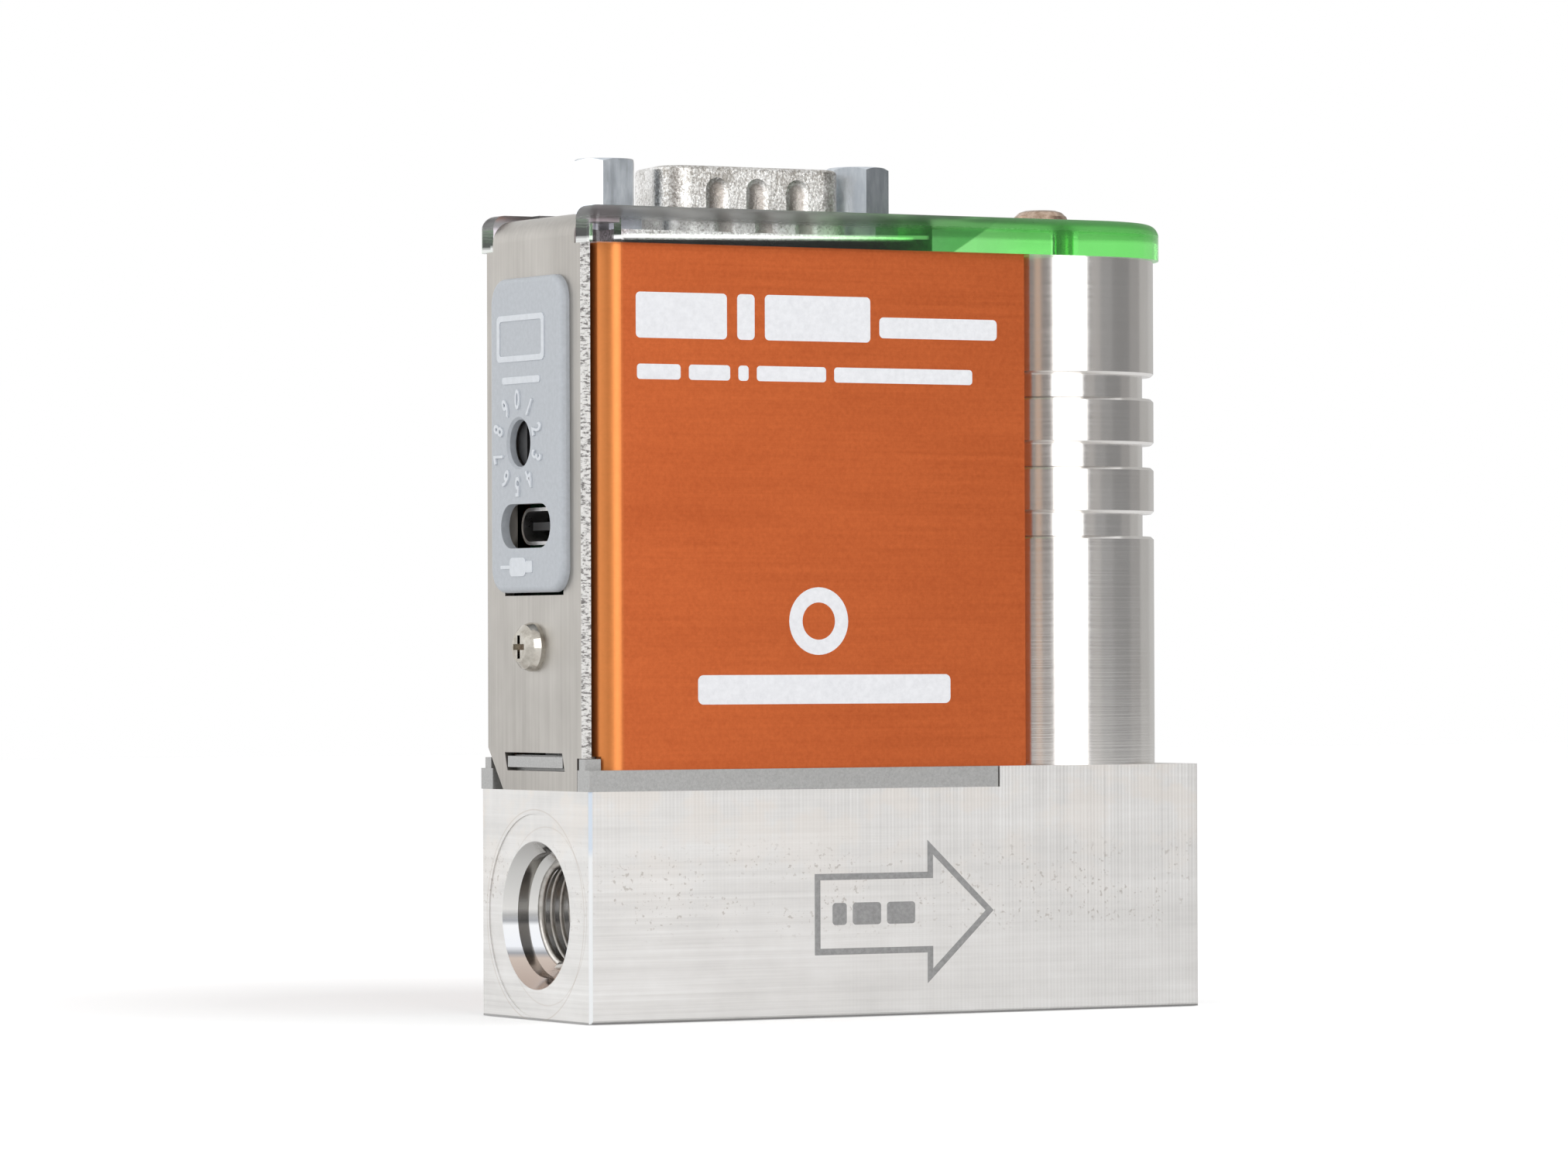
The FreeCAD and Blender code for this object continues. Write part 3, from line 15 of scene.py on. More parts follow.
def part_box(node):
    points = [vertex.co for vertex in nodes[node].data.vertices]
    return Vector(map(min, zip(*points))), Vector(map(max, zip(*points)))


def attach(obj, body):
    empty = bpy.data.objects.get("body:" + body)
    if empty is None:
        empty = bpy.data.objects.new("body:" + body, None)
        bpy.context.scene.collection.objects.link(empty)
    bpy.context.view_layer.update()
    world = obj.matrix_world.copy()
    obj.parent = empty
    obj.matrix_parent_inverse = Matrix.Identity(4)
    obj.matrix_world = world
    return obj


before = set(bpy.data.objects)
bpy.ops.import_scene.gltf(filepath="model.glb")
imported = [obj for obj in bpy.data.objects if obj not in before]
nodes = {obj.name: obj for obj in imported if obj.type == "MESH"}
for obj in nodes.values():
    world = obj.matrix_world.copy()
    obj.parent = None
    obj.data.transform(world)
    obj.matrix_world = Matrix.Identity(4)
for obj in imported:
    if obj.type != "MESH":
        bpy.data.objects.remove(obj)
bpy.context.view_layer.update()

# %% [markdown]
# Millimetres are the natural unit of such a small part, while the scene is in metres.
# One value turns the first into the second wherever a size is written.

# %% One millimetre
MM = 0.001
block_low, block_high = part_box("base_block")
print("block", [round((b - a) / MM, 1) for a, b in zip(block_low, block_high)], "mm")

# %% [markdown]
# ## The camera
# A camera looks along its own -Z with +Y up. It could be aimed with a constraint. Here
# its three axes are written down instead, because they were worked out from the lines
# of the block, and a matrix takes them as they are. The long lens stands far back, so
# the parallel edges hardly meet.

# %% Camera
camera_place = Vector((-305.35, -534.86, 30.81)) * MM
camera_right = Vector((0.872580, -0.488461, -0.003225))
camera_up = Vector((-0.002525, -0.011112, 0.999935))
camera_back = Vector((-0.488465, -0.872515, -0.010929))
camera_lens = bpy.data.cameras.new("studio_camera")
camera_lens.lens = 161.46
camera_lens.sensor_width = 36.0
camera_lens.clip_start = 0.01
camera = bpy.data.objects.new("studio_camera", camera_lens)
turn = Matrix((camera_right, camera_up, camera_back)).transposed()
camera.matrix_world = Matrix.Translation(camera_place) @ turn.to_4x4()
bpy.context.scene.collection.objects.link(camera)
bpy.context.scene.camera = camera
print("camera", round(camera_place.length, 3), "m from the block's foot")

# %% [markdown]
# ## A way to write finishes
# A finish is a graph of nodes, and adding them one by one makes long code. The first
# class wraps a socket, so that plus, minus and times add the Math nodes. The second
# holds a material, and its method `add` makes any other node: first the kind, then the
# settings, then the values or links of its sockets.

# %% Sockets that can be added and multiplied
class Wire:
    """A value that varies over the surface."""

    def __init__(self, finish, socket):
        self.finish = finish
        self.socket = socket

    def maths(self, operation, *operands, limit=False):
        settings = {"operation": operation, "use_clamp": limit}
        return self.finish.add("ShaderNodeMath", settings, dict(enumerate(operands)))

    def __add__(self, other):
        return self.maths("ADD", self, other)

    def __sub__(self, other):
        return self.maths("SUBTRACT", self, other)

    def __rsub__(self, other):
        return self.maths("SUBTRACT", other, self)

    def __mul__(self, other):
        return self.maths("MULTIPLY", self, other)

    def __truediv__(self, other):
        return self.maths("DIVIDE", self, other)

    def power(self, exponent):
        return self.maths("POWER", self, exponent)

    def size(self):
        """How far the value lies from 0 on either side."""
        return self.maths("ABSOLUTE", self)

    def above(self, edge, softness):
        """0 below the edge and 1 above it, with a soft step of that width."""
        slope = 1 / softness
        return self.maths("MULTIPLY_ADD", self, slope, 0.5 - edge / softness, limit=True)

    def within(self, low, high, softness):
        """1 between two edges and 0 outside them, with the same soft step at both."""
        return self.above(low, softness) * (1 - self.above(high, softness))

    __radd__ = __add__
    __rmul__ = __mul__


# %% [markdown]
# The finish starts from one shader, whose own sockets take the plain numbers. Patterns
# are laid in object coordinates, which are the real metres of the part, so a scratch or
# a grain keeps its true size on every piece.

# %% A material being made
BUMP_HEIGHT = 0.05 * MM


class Finish:
    """One material: a shader and the patterns that feed it."""

    def __init__(self, name, **plain):
        self.material = bpy.data.materials.new(name)
        self.material.use_nodes = True
        self.tree = self.material.node_tree
        self.shader = self.tree.nodes["Principled BSDF"]
        self.set(**plain)
        self.place = self.add("ShaderNodeTexCoord", {}, {}, "Object")

    def add(self, kind, settings, sockets, output=0):
        node = self.tree.nodes.new(kind)
        for name, value in settings.items():
            if name == "stops":
                self.fill_ramp(node.color_ramp, value)
            else:
                setattr(node, name, value)
        for name, value in sockets.items():
            self.feed(node.inputs[name], value)
        return Wire(self, node.outputs[output])

    def feed(self, socket, value):
        if isinstance(value, Wire):
            self.tree.links.new(value.socket, socket)
        elif isinstance(value, tuple) and len(value) == 3 and len(socket.default_value) == 4:
            socket.default_value = (*value, 1.0)
        else:
            socket.default_value = value

    def fill_ramp(self, ramp, stops):
        while len(ramp.elements) < len(stops):
            ramp.elements.new(0.5)
        for element, (position, colour) in zip(ramp.elements, stops):
            element.position = position
            element.color = (*colour, 1.0)

    def set(self, **sockets):
        """Feeds the shader: base_color becomes its socket Base Color, and so on."""
        names = {n.lower().replace(" ", "_"): n for n in self.shader.inputs.keys()}
        for name, value in sockets.items():
            self.feed(self.shader.inputs[names[name]], value)

    def noise(self, stretch, detail=3.0, roughness=0.6):
        """A pattern from 0 to 1 with so many features to the metre along X, Y and Z."""
        laid = self.add("ShaderNodeMapping", {}, {"Vector": self.place, "Scale": stretch})
        sockets = {"Vector": laid, "Scale": 1.0, "Detail": detail, "Roughness": roughness}
        return self.add("ShaderNodeTexNoise", {}, sockets)

    def axis(self, letter):
        """How far along X, Y or Z the point lies, in millimetres."""
        metres = self.add("ShaderNodeSeparateXYZ", {}, {0: self.place}, letter)
        return metres / MM

    def mix(self, share, low, high):
        sockets = {0: share, 6: low, 7: high}
        return self.add("ShaderNodeMix", {"data_type": "RGBA"}, sockets, 2)

    def ramp(self, value, *stops):
        return self.add("ShaderNodeValToRGB", {"stops": stops}, {0: value})

    def bump(self, height, strength):
        """Tilts the surface as if the pattern stood up to BUMP_HEIGHT out of it."""
        sockets = {"Height": height, "Strength": strength, "Distance": BUMP_HEIGHT}
        self.set(normal=self.add("ShaderNodeBump", {}, sockets))

    def wear(self, *names):
        """Gives this finish to solid pieces."""
        for name in names:
            mesh = nodes[name].data
            mesh.materials.clear()
            mesh.materials.append(self.material)
        print(self.material.name, "on", ", ".join(names))


# %% [markdown]
# ## The steel block
# The block is sawn from bar and milled. The cutter leaves upright feed marks high up and
# to the right, and level smears and scratches over the rest. Both could be real grooves,
# but they are a few microns deep, so stretched noise in the colour, the roughness and a
# bump shows them better and costs nothing. Pits of scale lie in a band half way up.

# %% Milled steel
milled = Finish("milled_steel")
scratch = milled.noise((28, 28, 3000), 5.0, 0.7)
chatter = milled.noise((3800, 900, 22), 2.0, 0.5)
teeth = milled.add(
    "ShaderNodeTexWave", {"bands_direction": "X"},
    {"Vector": milled.place, "Scale": 900.0, "Distortion": 2.0, "Detail Scale": 40.0}, "Fac")
smear = milled.noise((30, 30, 520), 4.0, 0.6)
cloud = milled.noise((190, 190, 230), 4.0)
pit = milled.noise((2300, 2300, 2600), 3.0, 0.6)
height = milled.axis("Z")
along = milled.axis("X")
outward = milled.axis("Y")
upward = height.above(13.0, 12.0)
to_right = along.above(4.0, 30.0)
upright = (upward * 0.55 + to_right * 0.65).above(0.5, 1.0)
marks = scratch * (1 - upright) + (chatter * 0.7 + teeth * 0.3) * upright
tone = marks * 0.45 + smear * 0.30 + cloud * 0.25
steel_tone = milled.ramp(
    tone, (0.36, (0.66, 0.65, 0.635)), (0.50, (0.755, 0.745, 0.73)), (0.64, (0.84, 0.835, 0.825)))
brown = upward * cloud.above(0.52, 0.10) * 0.35
steel_tone = milled.mix(brown, steel_tone, (0.76, 0.69, 0.62))
pit_band = height.above(7.5, 2.0) * (1 - height.above(14.5, 3.0))
pits = (1 - pit.above(0.37, 0.03)) * pit_band * cloud.above(0.46, 0.08)
steel_tone = milled.mix(pits * 0.5, steel_tone, (0.38, 0.34, 0.30))

# %% [markdown]
# The corner beside the port carries a painted highlight, near white low down and bluish
# higher up, and the ports themselves are turned smooth. Both are found by where a point
# lies: near two walls at once, or within a radius of the ports' axis. The turned cone's
# reflection of what lies in front of the port is painted here as bands that follow the
# height. The edge round the foot lies in its own shade, which is painted as a thin dark line.

# %% Painted corner highlight and turned ports
port_axis = 8.9
turned_radius = 6.35
corner_width = 0.28
corner_span = 20.0
foot_height = 0.16
near_left = 1 - along.above(block_low.x / MM + corner_width, 0.06)
near_front = 1 - outward.above(block_low.y / MM + corner_width, 0.06)
from_axis = height - port_axis
radius = (outward * outward + from_axis * from_axis).power(0.5)
in_port = 1 - radius.above(turned_radius, 0.05)
# Painted shade: the lowest edge of the block is darkened to a thin dark line.
at_foot = 1 - height.above(foot_height, 0.08)
steel_tone = milled.mix(at_foot * 0.7, steel_tone, (0.20, 0.20, 0.20))
# The bright band down the corner, bluish higher up, is painted highlight in the base colour.
corner_highlight_tone = milled.ramp(
    height / corner_span, (0.70, (0.90, 0.92, 0.93)), (0.74, (0.70, 0.78, 0.88)))
steel_tone = milled.mix(near_left * near_front, steel_tone, corner_highlight_tone)
# The bands that follow the height are painted reflection of what lies in front of the port.
port_reflection_tone = milled.ramp(
    from_axis / (2 * turned_radius) + 0.5, (0.02, (0.46, 0.37, 0.32)), (0.20, (0.60, 0.51, 0.45)),
    (0.235, (0.36, 0.37, 0.39)), (0.28, (0.88, 0.90, 0.94)), (0.42, (0.93, 0.94, 0.96)),
    (0.45, (0.40, 0.41, 0.43)), (0.49, (0.48, 0.48, 0.48)), (0.53, (0.83, 0.82, 0.80)),
    (0.80, (0.66, 0.655, 0.64)), (0.98, (0.46, 0.455, 0.445)))

# %% [markdown]
# The spotface cutter has left its circle round the port, and a second one beside it from
# an earlier cut.

# %% Circles round the port
spotface_radius = 9.05
earlier_radius = 7.6
earlier_shift = 1.9
circle_half_width = 0.05
end_wall_depth = 0.45


def circle(distance, size):
    """A thin line where the distance has that size."""
    return distance.within(size - circle_half_width, size + circle_half_width, 0.08)


beside = outward + earlier_shift
second = (beside * beside + from_axis * from_axis).power(0.5)
circles = circle(radius, spotface_radius) + circle(second, earlier_radius) * 0.7
on_left = 1 - along.above(block_low.x / MM + end_wall_depth, 0.1)
steel_tone = milled.mix(circles * on_left * 0.35, steel_tone, (0.45, 0.37, 0.30))
milled.set(base_color=milled.mix(in_port, steel_tone, port_reflection_tone))
milled.set(metallic=in_port * 0.45 + 0.55)
milled.set(roughness=(marks * 0.30 + 0.28) * (1 - in_port * 0.65))
milled.bump(marks, 0.25)
milled.wear("base_block")

# %% [markdown]
# ## Blasted, brushed and turned metal
# The grey frame between the block and the cover is blasted with beads, which leaves an
# even, matt grain. The end plate is brushed sheet, with its grain upright and a torn edge
# where it was cut, whose bright and dark glitter is a painted highlight over the real tear.
# The tower is turned on a lathe and polished, so it mirrors the studio in clean upright
# bands, with only a hint of rings round it.

# %% Blasted frame
blasted = Finish("blasted_aluminium", metallic=0.85)
grain = blasted.noise((5200, 5200, 5200), 3.0, 0.7)
blasted.set(base_color=blasted.ramp(grain, (0.3, (0.36, 0.36, 0.355)), (0.7, (0.48, 0.48, 0.475))))
blasted.set(roughness=grain * 0.25 + 0.38)
blasted.bump(grain, 0.3)
blasted.wear("adapter_frame", "connector_plate")

# %% Brushed end plate
brushed = Finish("brushed_plate", metallic=0.9)
strokes = brushed.noise((2500, 2500, 60), 4.0, 0.6)
cloud = brushed.noise((110, 110, 80), 3.0)
plate_tone = brushed.ramp(
    strokes * 0.45 + cloud * 0.55, (0.36, (0.37, 0.35, 0.325)), (0.64, (0.49, 0.47, 0.44)))
torn = brushed.noise((1600, 1600, 4200), 3.0, 0.7)
# The glitter along the cut edge is painted highlight over the real torn edge.
cut_edge_and_glint_tone = brushed.ramp(torn, (0.40, (0.20, 0.19, 0.185)), (0.52, (0.74, 0.735, 0.72)))
cut_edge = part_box("end_cover")[0].y / MM
cut_depth = 0.08
inwards = brushed.axis("Y").above(cut_edge + cut_depth, 0.04)
brushed.set(base_color=brushed.mix(inwards, cut_edge_and_glint_tone, plate_tone))
brushed.set(roughness=strokes * 0.2 + 0.30)
brushed.bump(strokes, 0.15)
brushed.wear("end_cover")

# %% Turned tower
turned = Finish("turned_steel", metallic=1.0)
rings = turned.noise((40, 40, 5200), 3.0, 0.6)
smudge = turned.noise((140, 140, 90), 3.0)
turned.set(base_color=turned.ramp(smudge, (0.35, (0.79, 0.765, 0.74)), (0.7, (0.85, 0.83, 0.81))))
turned.set(roughness=rings * 0.10 + 0.10)
turned.bump(rings, 0.06)
turned.wear("valve_tower")

# %% [markdown]
# ## The orange cover
# Anodised aluminium is metal under a clear dyed skin: the colour tints the reflection,
# so the shader stays metallic with an orange base. The sheet was brushed before it was
# dyed, and the brushing runs level on the front, which the stretched noise follows.
# Round the bend the colour is painted lighter and yellower, a painted highlight. Inside,
# where only the slot and the dial hole let a look in, the cover is painted near black as shade.

# %% Orange skin
orange = Finish("orange_anodised", metallic=0.85, coat_weight=0.15, coat_roughness=0.3)
brushing = orange.noise((60, 60, 3600), 5.0, 0.7)
dye = orange.noise((3000, 3000, 3000), 3.0, 0.7)
patch = orange.noise((60, 60, 110), 3.0)
skin_and_highlight_tone = orange.ramp(
    brushing * 0.30 + dye * 0.45 + patch * 0.25,
    (0.36, (0.50, 0.098, 0.022)), (0.64, (0.62, 0.140, 0.036)))
cover_low, cover_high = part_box("main_cover")
cover_wall = 1.05
window_half_width = 7.3
bend_length = 2.0
bend_depth = 8.0
depth = orange.axis("Y").size()
along = orange.axis("X")
behind_front = 1 - depth.above(cover_high.y / MM - cover_wall, 0.1)
between_ends = along.within(
    cover_low.x / MM + cover_wall, cover_high.x / MM - cover_wall, 0.1)
at_window = (1 - depth.above(window_half_width, 0.1)) * (1 - along.above(0.0, 1.0))
shaded_inside = (behind_front * between_ends + at_window).above(0.5, 1.0)
# Painted highlight: the bend's colour is made lighter and yellower.
at_left = 1 - along.above(cover_low.x / MM + bend_length, 0.5)
bend_highlight = at_left * depth.above(bend_depth, 0.5)
skin_and_highlight_tone = orange.mix(bend_highlight * 0.55, skin_and_highlight_tone, (0.80, 0.33, 0.09))
# Painted shade: inside the cover the colour is near black, where little light reaches.
orange.set(base_color=orange.mix(shaded_inside, skin_and_highlight_tone, (0.02, 0.018, 0.017)))
orange.set(roughness=brushing * 0.2 + 0.30)
orange.bump(brushing, 0.12)
orange.wear("main_cover")

# %% [markdown]
# ## The moulded panel
# The small panel with the dial and the socket is a pale blue-grey plastic. Its skin has
# a fine spark-eroded texture, which only shows in how the light spreads.

# %% Pale plastic
pale = Finish("pale_plastic")
skin = pale.noise((2600, 2600, 2600), 3.0, 0.6)
pale.set(base_color=pale.ramp(skin, (0.3, (0.47, 0.50, 0.535)), (0.7, (0.53, 0.56, 0.60))))
pale.set(roughness=skin * 0.15 + 0.36)
pale.bump(skin, 0.2)
pale.wear("access_panel")

# %% [markdown]
# ## The clear lens
# A slab of clear plastic lies on top and carries the light of a green lamp below its
# right half. Its sides are polished and let the look through, while its top and the
# rounding round it are satin. Real light pipes glow because dust and scratches scatter
# the light inside. Tracing that takes many samples, so the green is a tint that deepens
# along the slab, with a little emission.

# %% Glowing lens
lens = Finish("clear_lens", transmission_weight=1.0, ior=1.49)
lens_length = 64.0
satin_depth = 1.1
lens_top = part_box("top_lens")[1].z / MM
along = lens.axis("X")
height = lens.axis("Z")
lit = along.above(0.0, lens_length)
scuff = lens.noise((1700, 1700, 1700), 4.0, 0.7)
satin = height.above(lens_top - satin_depth, 0.35)
clear_tone = lens.ramp(
    lit, (0.07, (0.90, 0.83, 0.90)), (0.11, (0.86, 0.87, 0.87)), (0.36, (0.86, 0.87, 0.87)),
    (0.50, (0.50, 0.78, 0.48)), (0.70, (0.17, 0.62, 0.15)))
satin_tone = lens.ramp(
    lit, (0.36, (0.33, 0.33, 0.33)), (0.50, (0.18, 0.26, 0.16)), (0.70, (0.06, 0.24, 0.05)))

# %% [markdown]
# A clear slab shows what lies behind its lower edge twice over, and that view is painted
# here. Along the connector a glowing bright line is painted reflection of the flange's rim,
# with painted shadow for the dark gap below it, and beyond the flange painted shade marks
# the dark end of the pocket, cut off slantwise.

# %% Painted view through the lens
rim_height = 67.1
rim_slope = 0.02
flange_left, flange_right = -27.3, 2.6
pocket_left = 2.0
slant = 1.61
slant_foot = 5.6 - 66.23 * slant
# Painted view: a glowing line for the rim's reflection, dark paint for the gap's shadow and the
# pocket's shade.
from_rim = height - (along * rim_slope + rim_height)
flange = along.within(flange_left, flange_right, 0.3)
painted_gap_shadow = (1 - from_rim.above(-0.17, 0.08)) * flange
painted_rim_line = from_rim.above(-0.15, 0.08) * (1 - from_rim.above(0.17, 0.10)) * flange
past_slant = (along - height * slant).above(slant_foot, 0.25)
painted_pocket_shade = along.above(pocket_left, 0.8) * (1 - past_slant)
side_tone = lens.mix(painted_gap_shadow * 0.93, clear_tone, (0.01, 0.012, 0.01))
side_tone = lens.mix(painted_pocket_shade * 0.92, side_tone, (0.006, 0.13, 0.015))
lens.set(base_color=lens.mix(satin * 0.85, side_tone, satin_tone))
glow = lens.ramp(lit * (scuff * 0.4 + 0.8), (0.45, (0.0, 0.0, 0.0)), (0.8, (0.02, 0.10, 0.02)))
rim_light = lens.ramp(lit, (0.30, (0.42, 0.44, 0.42)), (0.50, (0.10, 0.32, 0.09)))
lens.set(emission_color=lens.mix(painted_rim_line * (1 - satin), glow, rim_light))
lens.set(emission_strength=1.0)
lens.set(roughness=satin * (scuff * 0.4 + 0.15) + 0.02)
lens.bump(scuff * satin, 0.35)
lens.wear("top_lens")

# %% [markdown]
# ## Plating, screws and contacts
# The connector shell is pressed from sheet and tinned: bright, but finely crinkled, so
# it glitters. Its dimples see little of the studio, so their floors are darkened. The
# hexagon posts beside it are smooth blue-bright zinc. The small screws are nickel over
# steel and a touch warmer, and the one in the lens is bronze coloured.

# %% Tinned shell
tinned = Finish("tinned_shell", metallic=1.0)
crinkle = tinned.noise((4200, 4200, 4200), 4.0, 0.75)
dull = tinned.noise((260, 260, 200), 3.0)
outward = tinned.axis("Y")
shell_front = -4.6
dimple_start, dimple_end = 0.14, 0.5
dimples_left, dimples_right = -16.6, -5.4
dimples_top = 72.4
behind_wall = outward.above(shell_front + dimple_start, 0.08)
in_dimple = behind_wall * (1 - outward.above(shell_front + dimple_end, 0.1))
across_dimples = tinned.axis("X").within(dimples_left, dimples_right, 0.2)
below_rim = 1 - tinned.axis("Z").above(dimples_top, 0.3)
shade = in_dimple * across_dimples * below_rim
shell_tone = tinned.ramp(
    crinkle * 0.65 + dull * 0.35, (0.40, (0.34, 0.32, 0.29)), (0.58, (0.92, 0.915, 0.90)))
tinned.set(base_color=tinned.mix(shade * 0.75, shell_tone, (0.27, 0.235, 0.205)))
tinned.set(roughness=dull * 0.3 + 0.08)
tinned.bump(crinkle, 0.9)
tinned.wear("dsub_shell")


# %% Smooth plating
def plated(name, dark, light, smooth, grain_size, *wearers):
    """Gives solid pieces a metal skin between two tones."""
    finish = Finish(name, metallic=1.0)
    speck = finish.noise(grain_size, 4.0, 0.6)
    finish.set(base_color=finish.ramp(speck, (0.35, dark), (0.65, light)))
    finish.set(roughness=speck * 0.15 + smooth)
    finish.bump(speck, 0.10)
    finish.wear(*wearers)


plated("zinc_post", (0.46, 0.50, 0.545), (0.62, 0.665, 0.71), 0.16, (1200, 1200, 260),
       "dsub_jackscrews")
plated("nickel_screw", (0.42, 0.39, 0.34), (0.66, 0.63, 0.57), 0.06, (900, 900, 900),
       "end_cover_screw", "frame_screws", "sensor_screws")
plated("bronze_screw", (0.36, 0.25, 0.18), (0.55, 0.42, 0.33), 0.20, (1800, 1800, 1800),
       "lens_screw")

# %% Gold pins
gold = Finish("gold_contact", metallic=1.0)
flash = gold.noise((900, 900, 900), 3.0)
gold.set(base_color=gold.ramp(flash, (0.3, (0.80, 0.58, 0.25)), (0.7, (0.90, 0.70, 0.36))))
gold.set(roughness=flash * 0.2 + 0.18)
gold.wear("dsub_pins")

# %% [markdown]
# ## What is inside
# Little of the inside shows, only through the slot, the dial hole and the lens, but a
# reader may hide the cover, so each piece there gets its own finish too. They are all
# of one kind, a colour that varies a little with a fine grain, so one function makes
# them.

# %% Plain finishes for the inner pieces
def plain_finish(name, dark, light, metal, matt, grain_size, *wearers):
    """Gives solid pieces a colour between two tones, with a fine grain."""
    finish = Finish(name, metallic=metal)
    pattern = finish.noise((grain_size, grain_size, grain_size), 4.0, 0.65)
    finish.set(base_color=finish.ramp(pattern, (0.3, dark), (0.7, light)))
    finish.set(roughness=pattern * 0.2 + (matt - 0.1))
    finish.bump(pattern, 0.1)
    finish.wear(*wearers)


plain_finish("black_plastic", (0.012, 0.012, 0.013), (0.03, 0.03, 0.032), 0.0, 0.45, 1500,
             "dsub_insulator", "usb_tongue", "address_switch_body", "address_switch_rotor",
             "coil_bobbin")
plain_finish("green_board", (0.010, 0.075, 0.035), (0.02, 0.12, 0.055), 0.0, 0.35, 1100,
             "main_board", "interface_board")
plain_finish("moulded_chip", (0.02, 0.02, 0.02), (0.045, 0.045, 0.045), 0.0, 0.55, 1900,
             "board_components")
plain_finish("soft_rubber", (0.015, 0.015, 0.015), (0.035, 0.034, 0.033), 0.0, 0.65, 1300,
             "sensor_seals", "valve_seal", "seal_disc")
plain_finish("copper_wire", (0.55, 0.20, 0.09), (0.72, 0.31, 0.16), 1.0, 0.35, 1200,
             "coil_winding", "sensor_windings")
plain_finish("fine_steel", (0.60, 0.59, 0.58), (0.72, 0.715, 0.71), 1.0, 0.3, 1400,
             "sensor_base", "sensor_tube", "core_tube", "pole_piece", "plunger",
             "plunger_spring", "valve_orifice", "inlet_screen", "flow_element",
             "usb_receptacle")

# %% Green lamp
lamp = Finish("green_lamp", emission_color=(0.05, 0.9, 0.12), emission_strength=3.0)
core = lamp.noise((700, 700, 700))
lamp.set(base_color=lamp.ramp(core, (0.3, (0.10, 0.55, 0.16)), (0.7, (0.16, 0.70, 0.22))))
lamp.set(roughness=core * 0.2 + 0.2)
lamp.wear("status_light")

# %% [markdown]
# ## Print and engraving
# White print and the engraved arrow are outlines filled flat. A 2D curve does this
# well: it takes several closed outlines, fills between them, so that one inside another
# is a hole, and gives the sheet its few hundredths of a millimetre. It is then made a
# mesh and stood on its wall.

# %% Flat shapes on a wall
FRONT = Matrix(((1, 0, 0), (0, 0, 1), (0, -1, 0))).transposed().to_4x4()
LEFT = Matrix(((0, -1, 0), (0, 0, 1), (-1, 0, 0))).transposed().to_4x4()


def add_to_meter(name, mesh):
    """A new piece that rides on the meter's own body."""
    piece = bpy.data.objects.new(name, mesh)
    bpy.context.scene.collection.objects.link(piece)
    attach(piece, "meter")


def stand(name, mesh, wall, depth, finish):
    """Turns a flat mesh to a wall that lies at that depth, in millimetres."""
    outward = Vector((wall[0][2], wall[1][2], wall[2][2]))
    mesh.transform(Matrix.Translation(outward * depth * MM) @ wall)
    mesh.materials.clear()
    mesh.materials.append(finish.material)
    add_to_meter(name, mesh)


def mesh_of(item):
    """The plain mesh that a curve, a text or a modified object shows."""
    bpy.context.scene.collection.objects.link(item)
    depsgraph = bpy.context.evaluated_depsgraph_get()
    mesh = bpy.data.meshes.new_from_object(item.evaluated_get(depsgraph))
    bpy.data.objects.remove(item)
    return mesh


def sheet_of(name, outlines, thickness):
    """A thin flat mesh between closed outlines, given in millimetres."""
    curve = bpy.data.curves.new(name, "CURVE")
    curve.dimensions = "2D"
    curve.fill_mode = "BOTH"
    curve.extrude = thickness / 2 * MM
    for outline in outlines:
        spline = curve.splines.new("POLY")
        spline.points.add(len(outline) - 1)
        spline.use_cyclic_u = True
        for point, (across, up) in zip(spline.points, outline):
            point.co = (across * MM, up * MM, 0, 1)
    return mesh_of(bpy.data.objects.new(name, curve))


# %% [markdown]
# The arrow's line has one width all the way, so its inner outline is the outer one
# moved inwards. Each corner moves along the line that halves it, and further the
# sharper it is. All other marks are bars with round corners, and a disc is a bar whose
# corners have met.

# %% Outlines
def inset(outline, distance):
    """The outline moved inwards by one distance all round."""
    moved = []
    for i, corner in enumerate(outline):
        before = (Vector(corner) - Vector(outline[i - 1])).normalized()
        after = (Vector(outline[(i + 1) % len(outline)]) - Vector(corner)).normalized()
        inward = Vector((-before.y - after.y, before.x + after.x)).normalized()
        reach = distance / max(0.3, inward.dot(Vector((-before.y, before.x))))
        moved.append(tuple(Vector(corner) + inward * reach))
    return moved


def rounded(left, low, right, high, radius, steps=6):
    """A rectangle with round corners, each drawn in so many steps."""
    corners = ((right - radius, low + radius, -90), (right - radius, high - radius, 0),
               (left + radius, high - radius, 90), (left + radius, low + radius, 180))
    outline = []
    for across, up, start in corners:
        for step in range(steps + 1):
            angle = math.radians(start + 90 * step / steps)
            outline.append((across + radius * math.cos(angle), up + radius * math.sin(angle)))
    return outline


def disc(across, up, radius):
    return rounded(across - radius, up - radius, across + radius, up + radius, radius, 12)


def bars(low, high, radius, *spans):
    """One row of bars, from the left and right end of each."""
    return [rounded(left, low, right, high, radius) for left, right in spans]


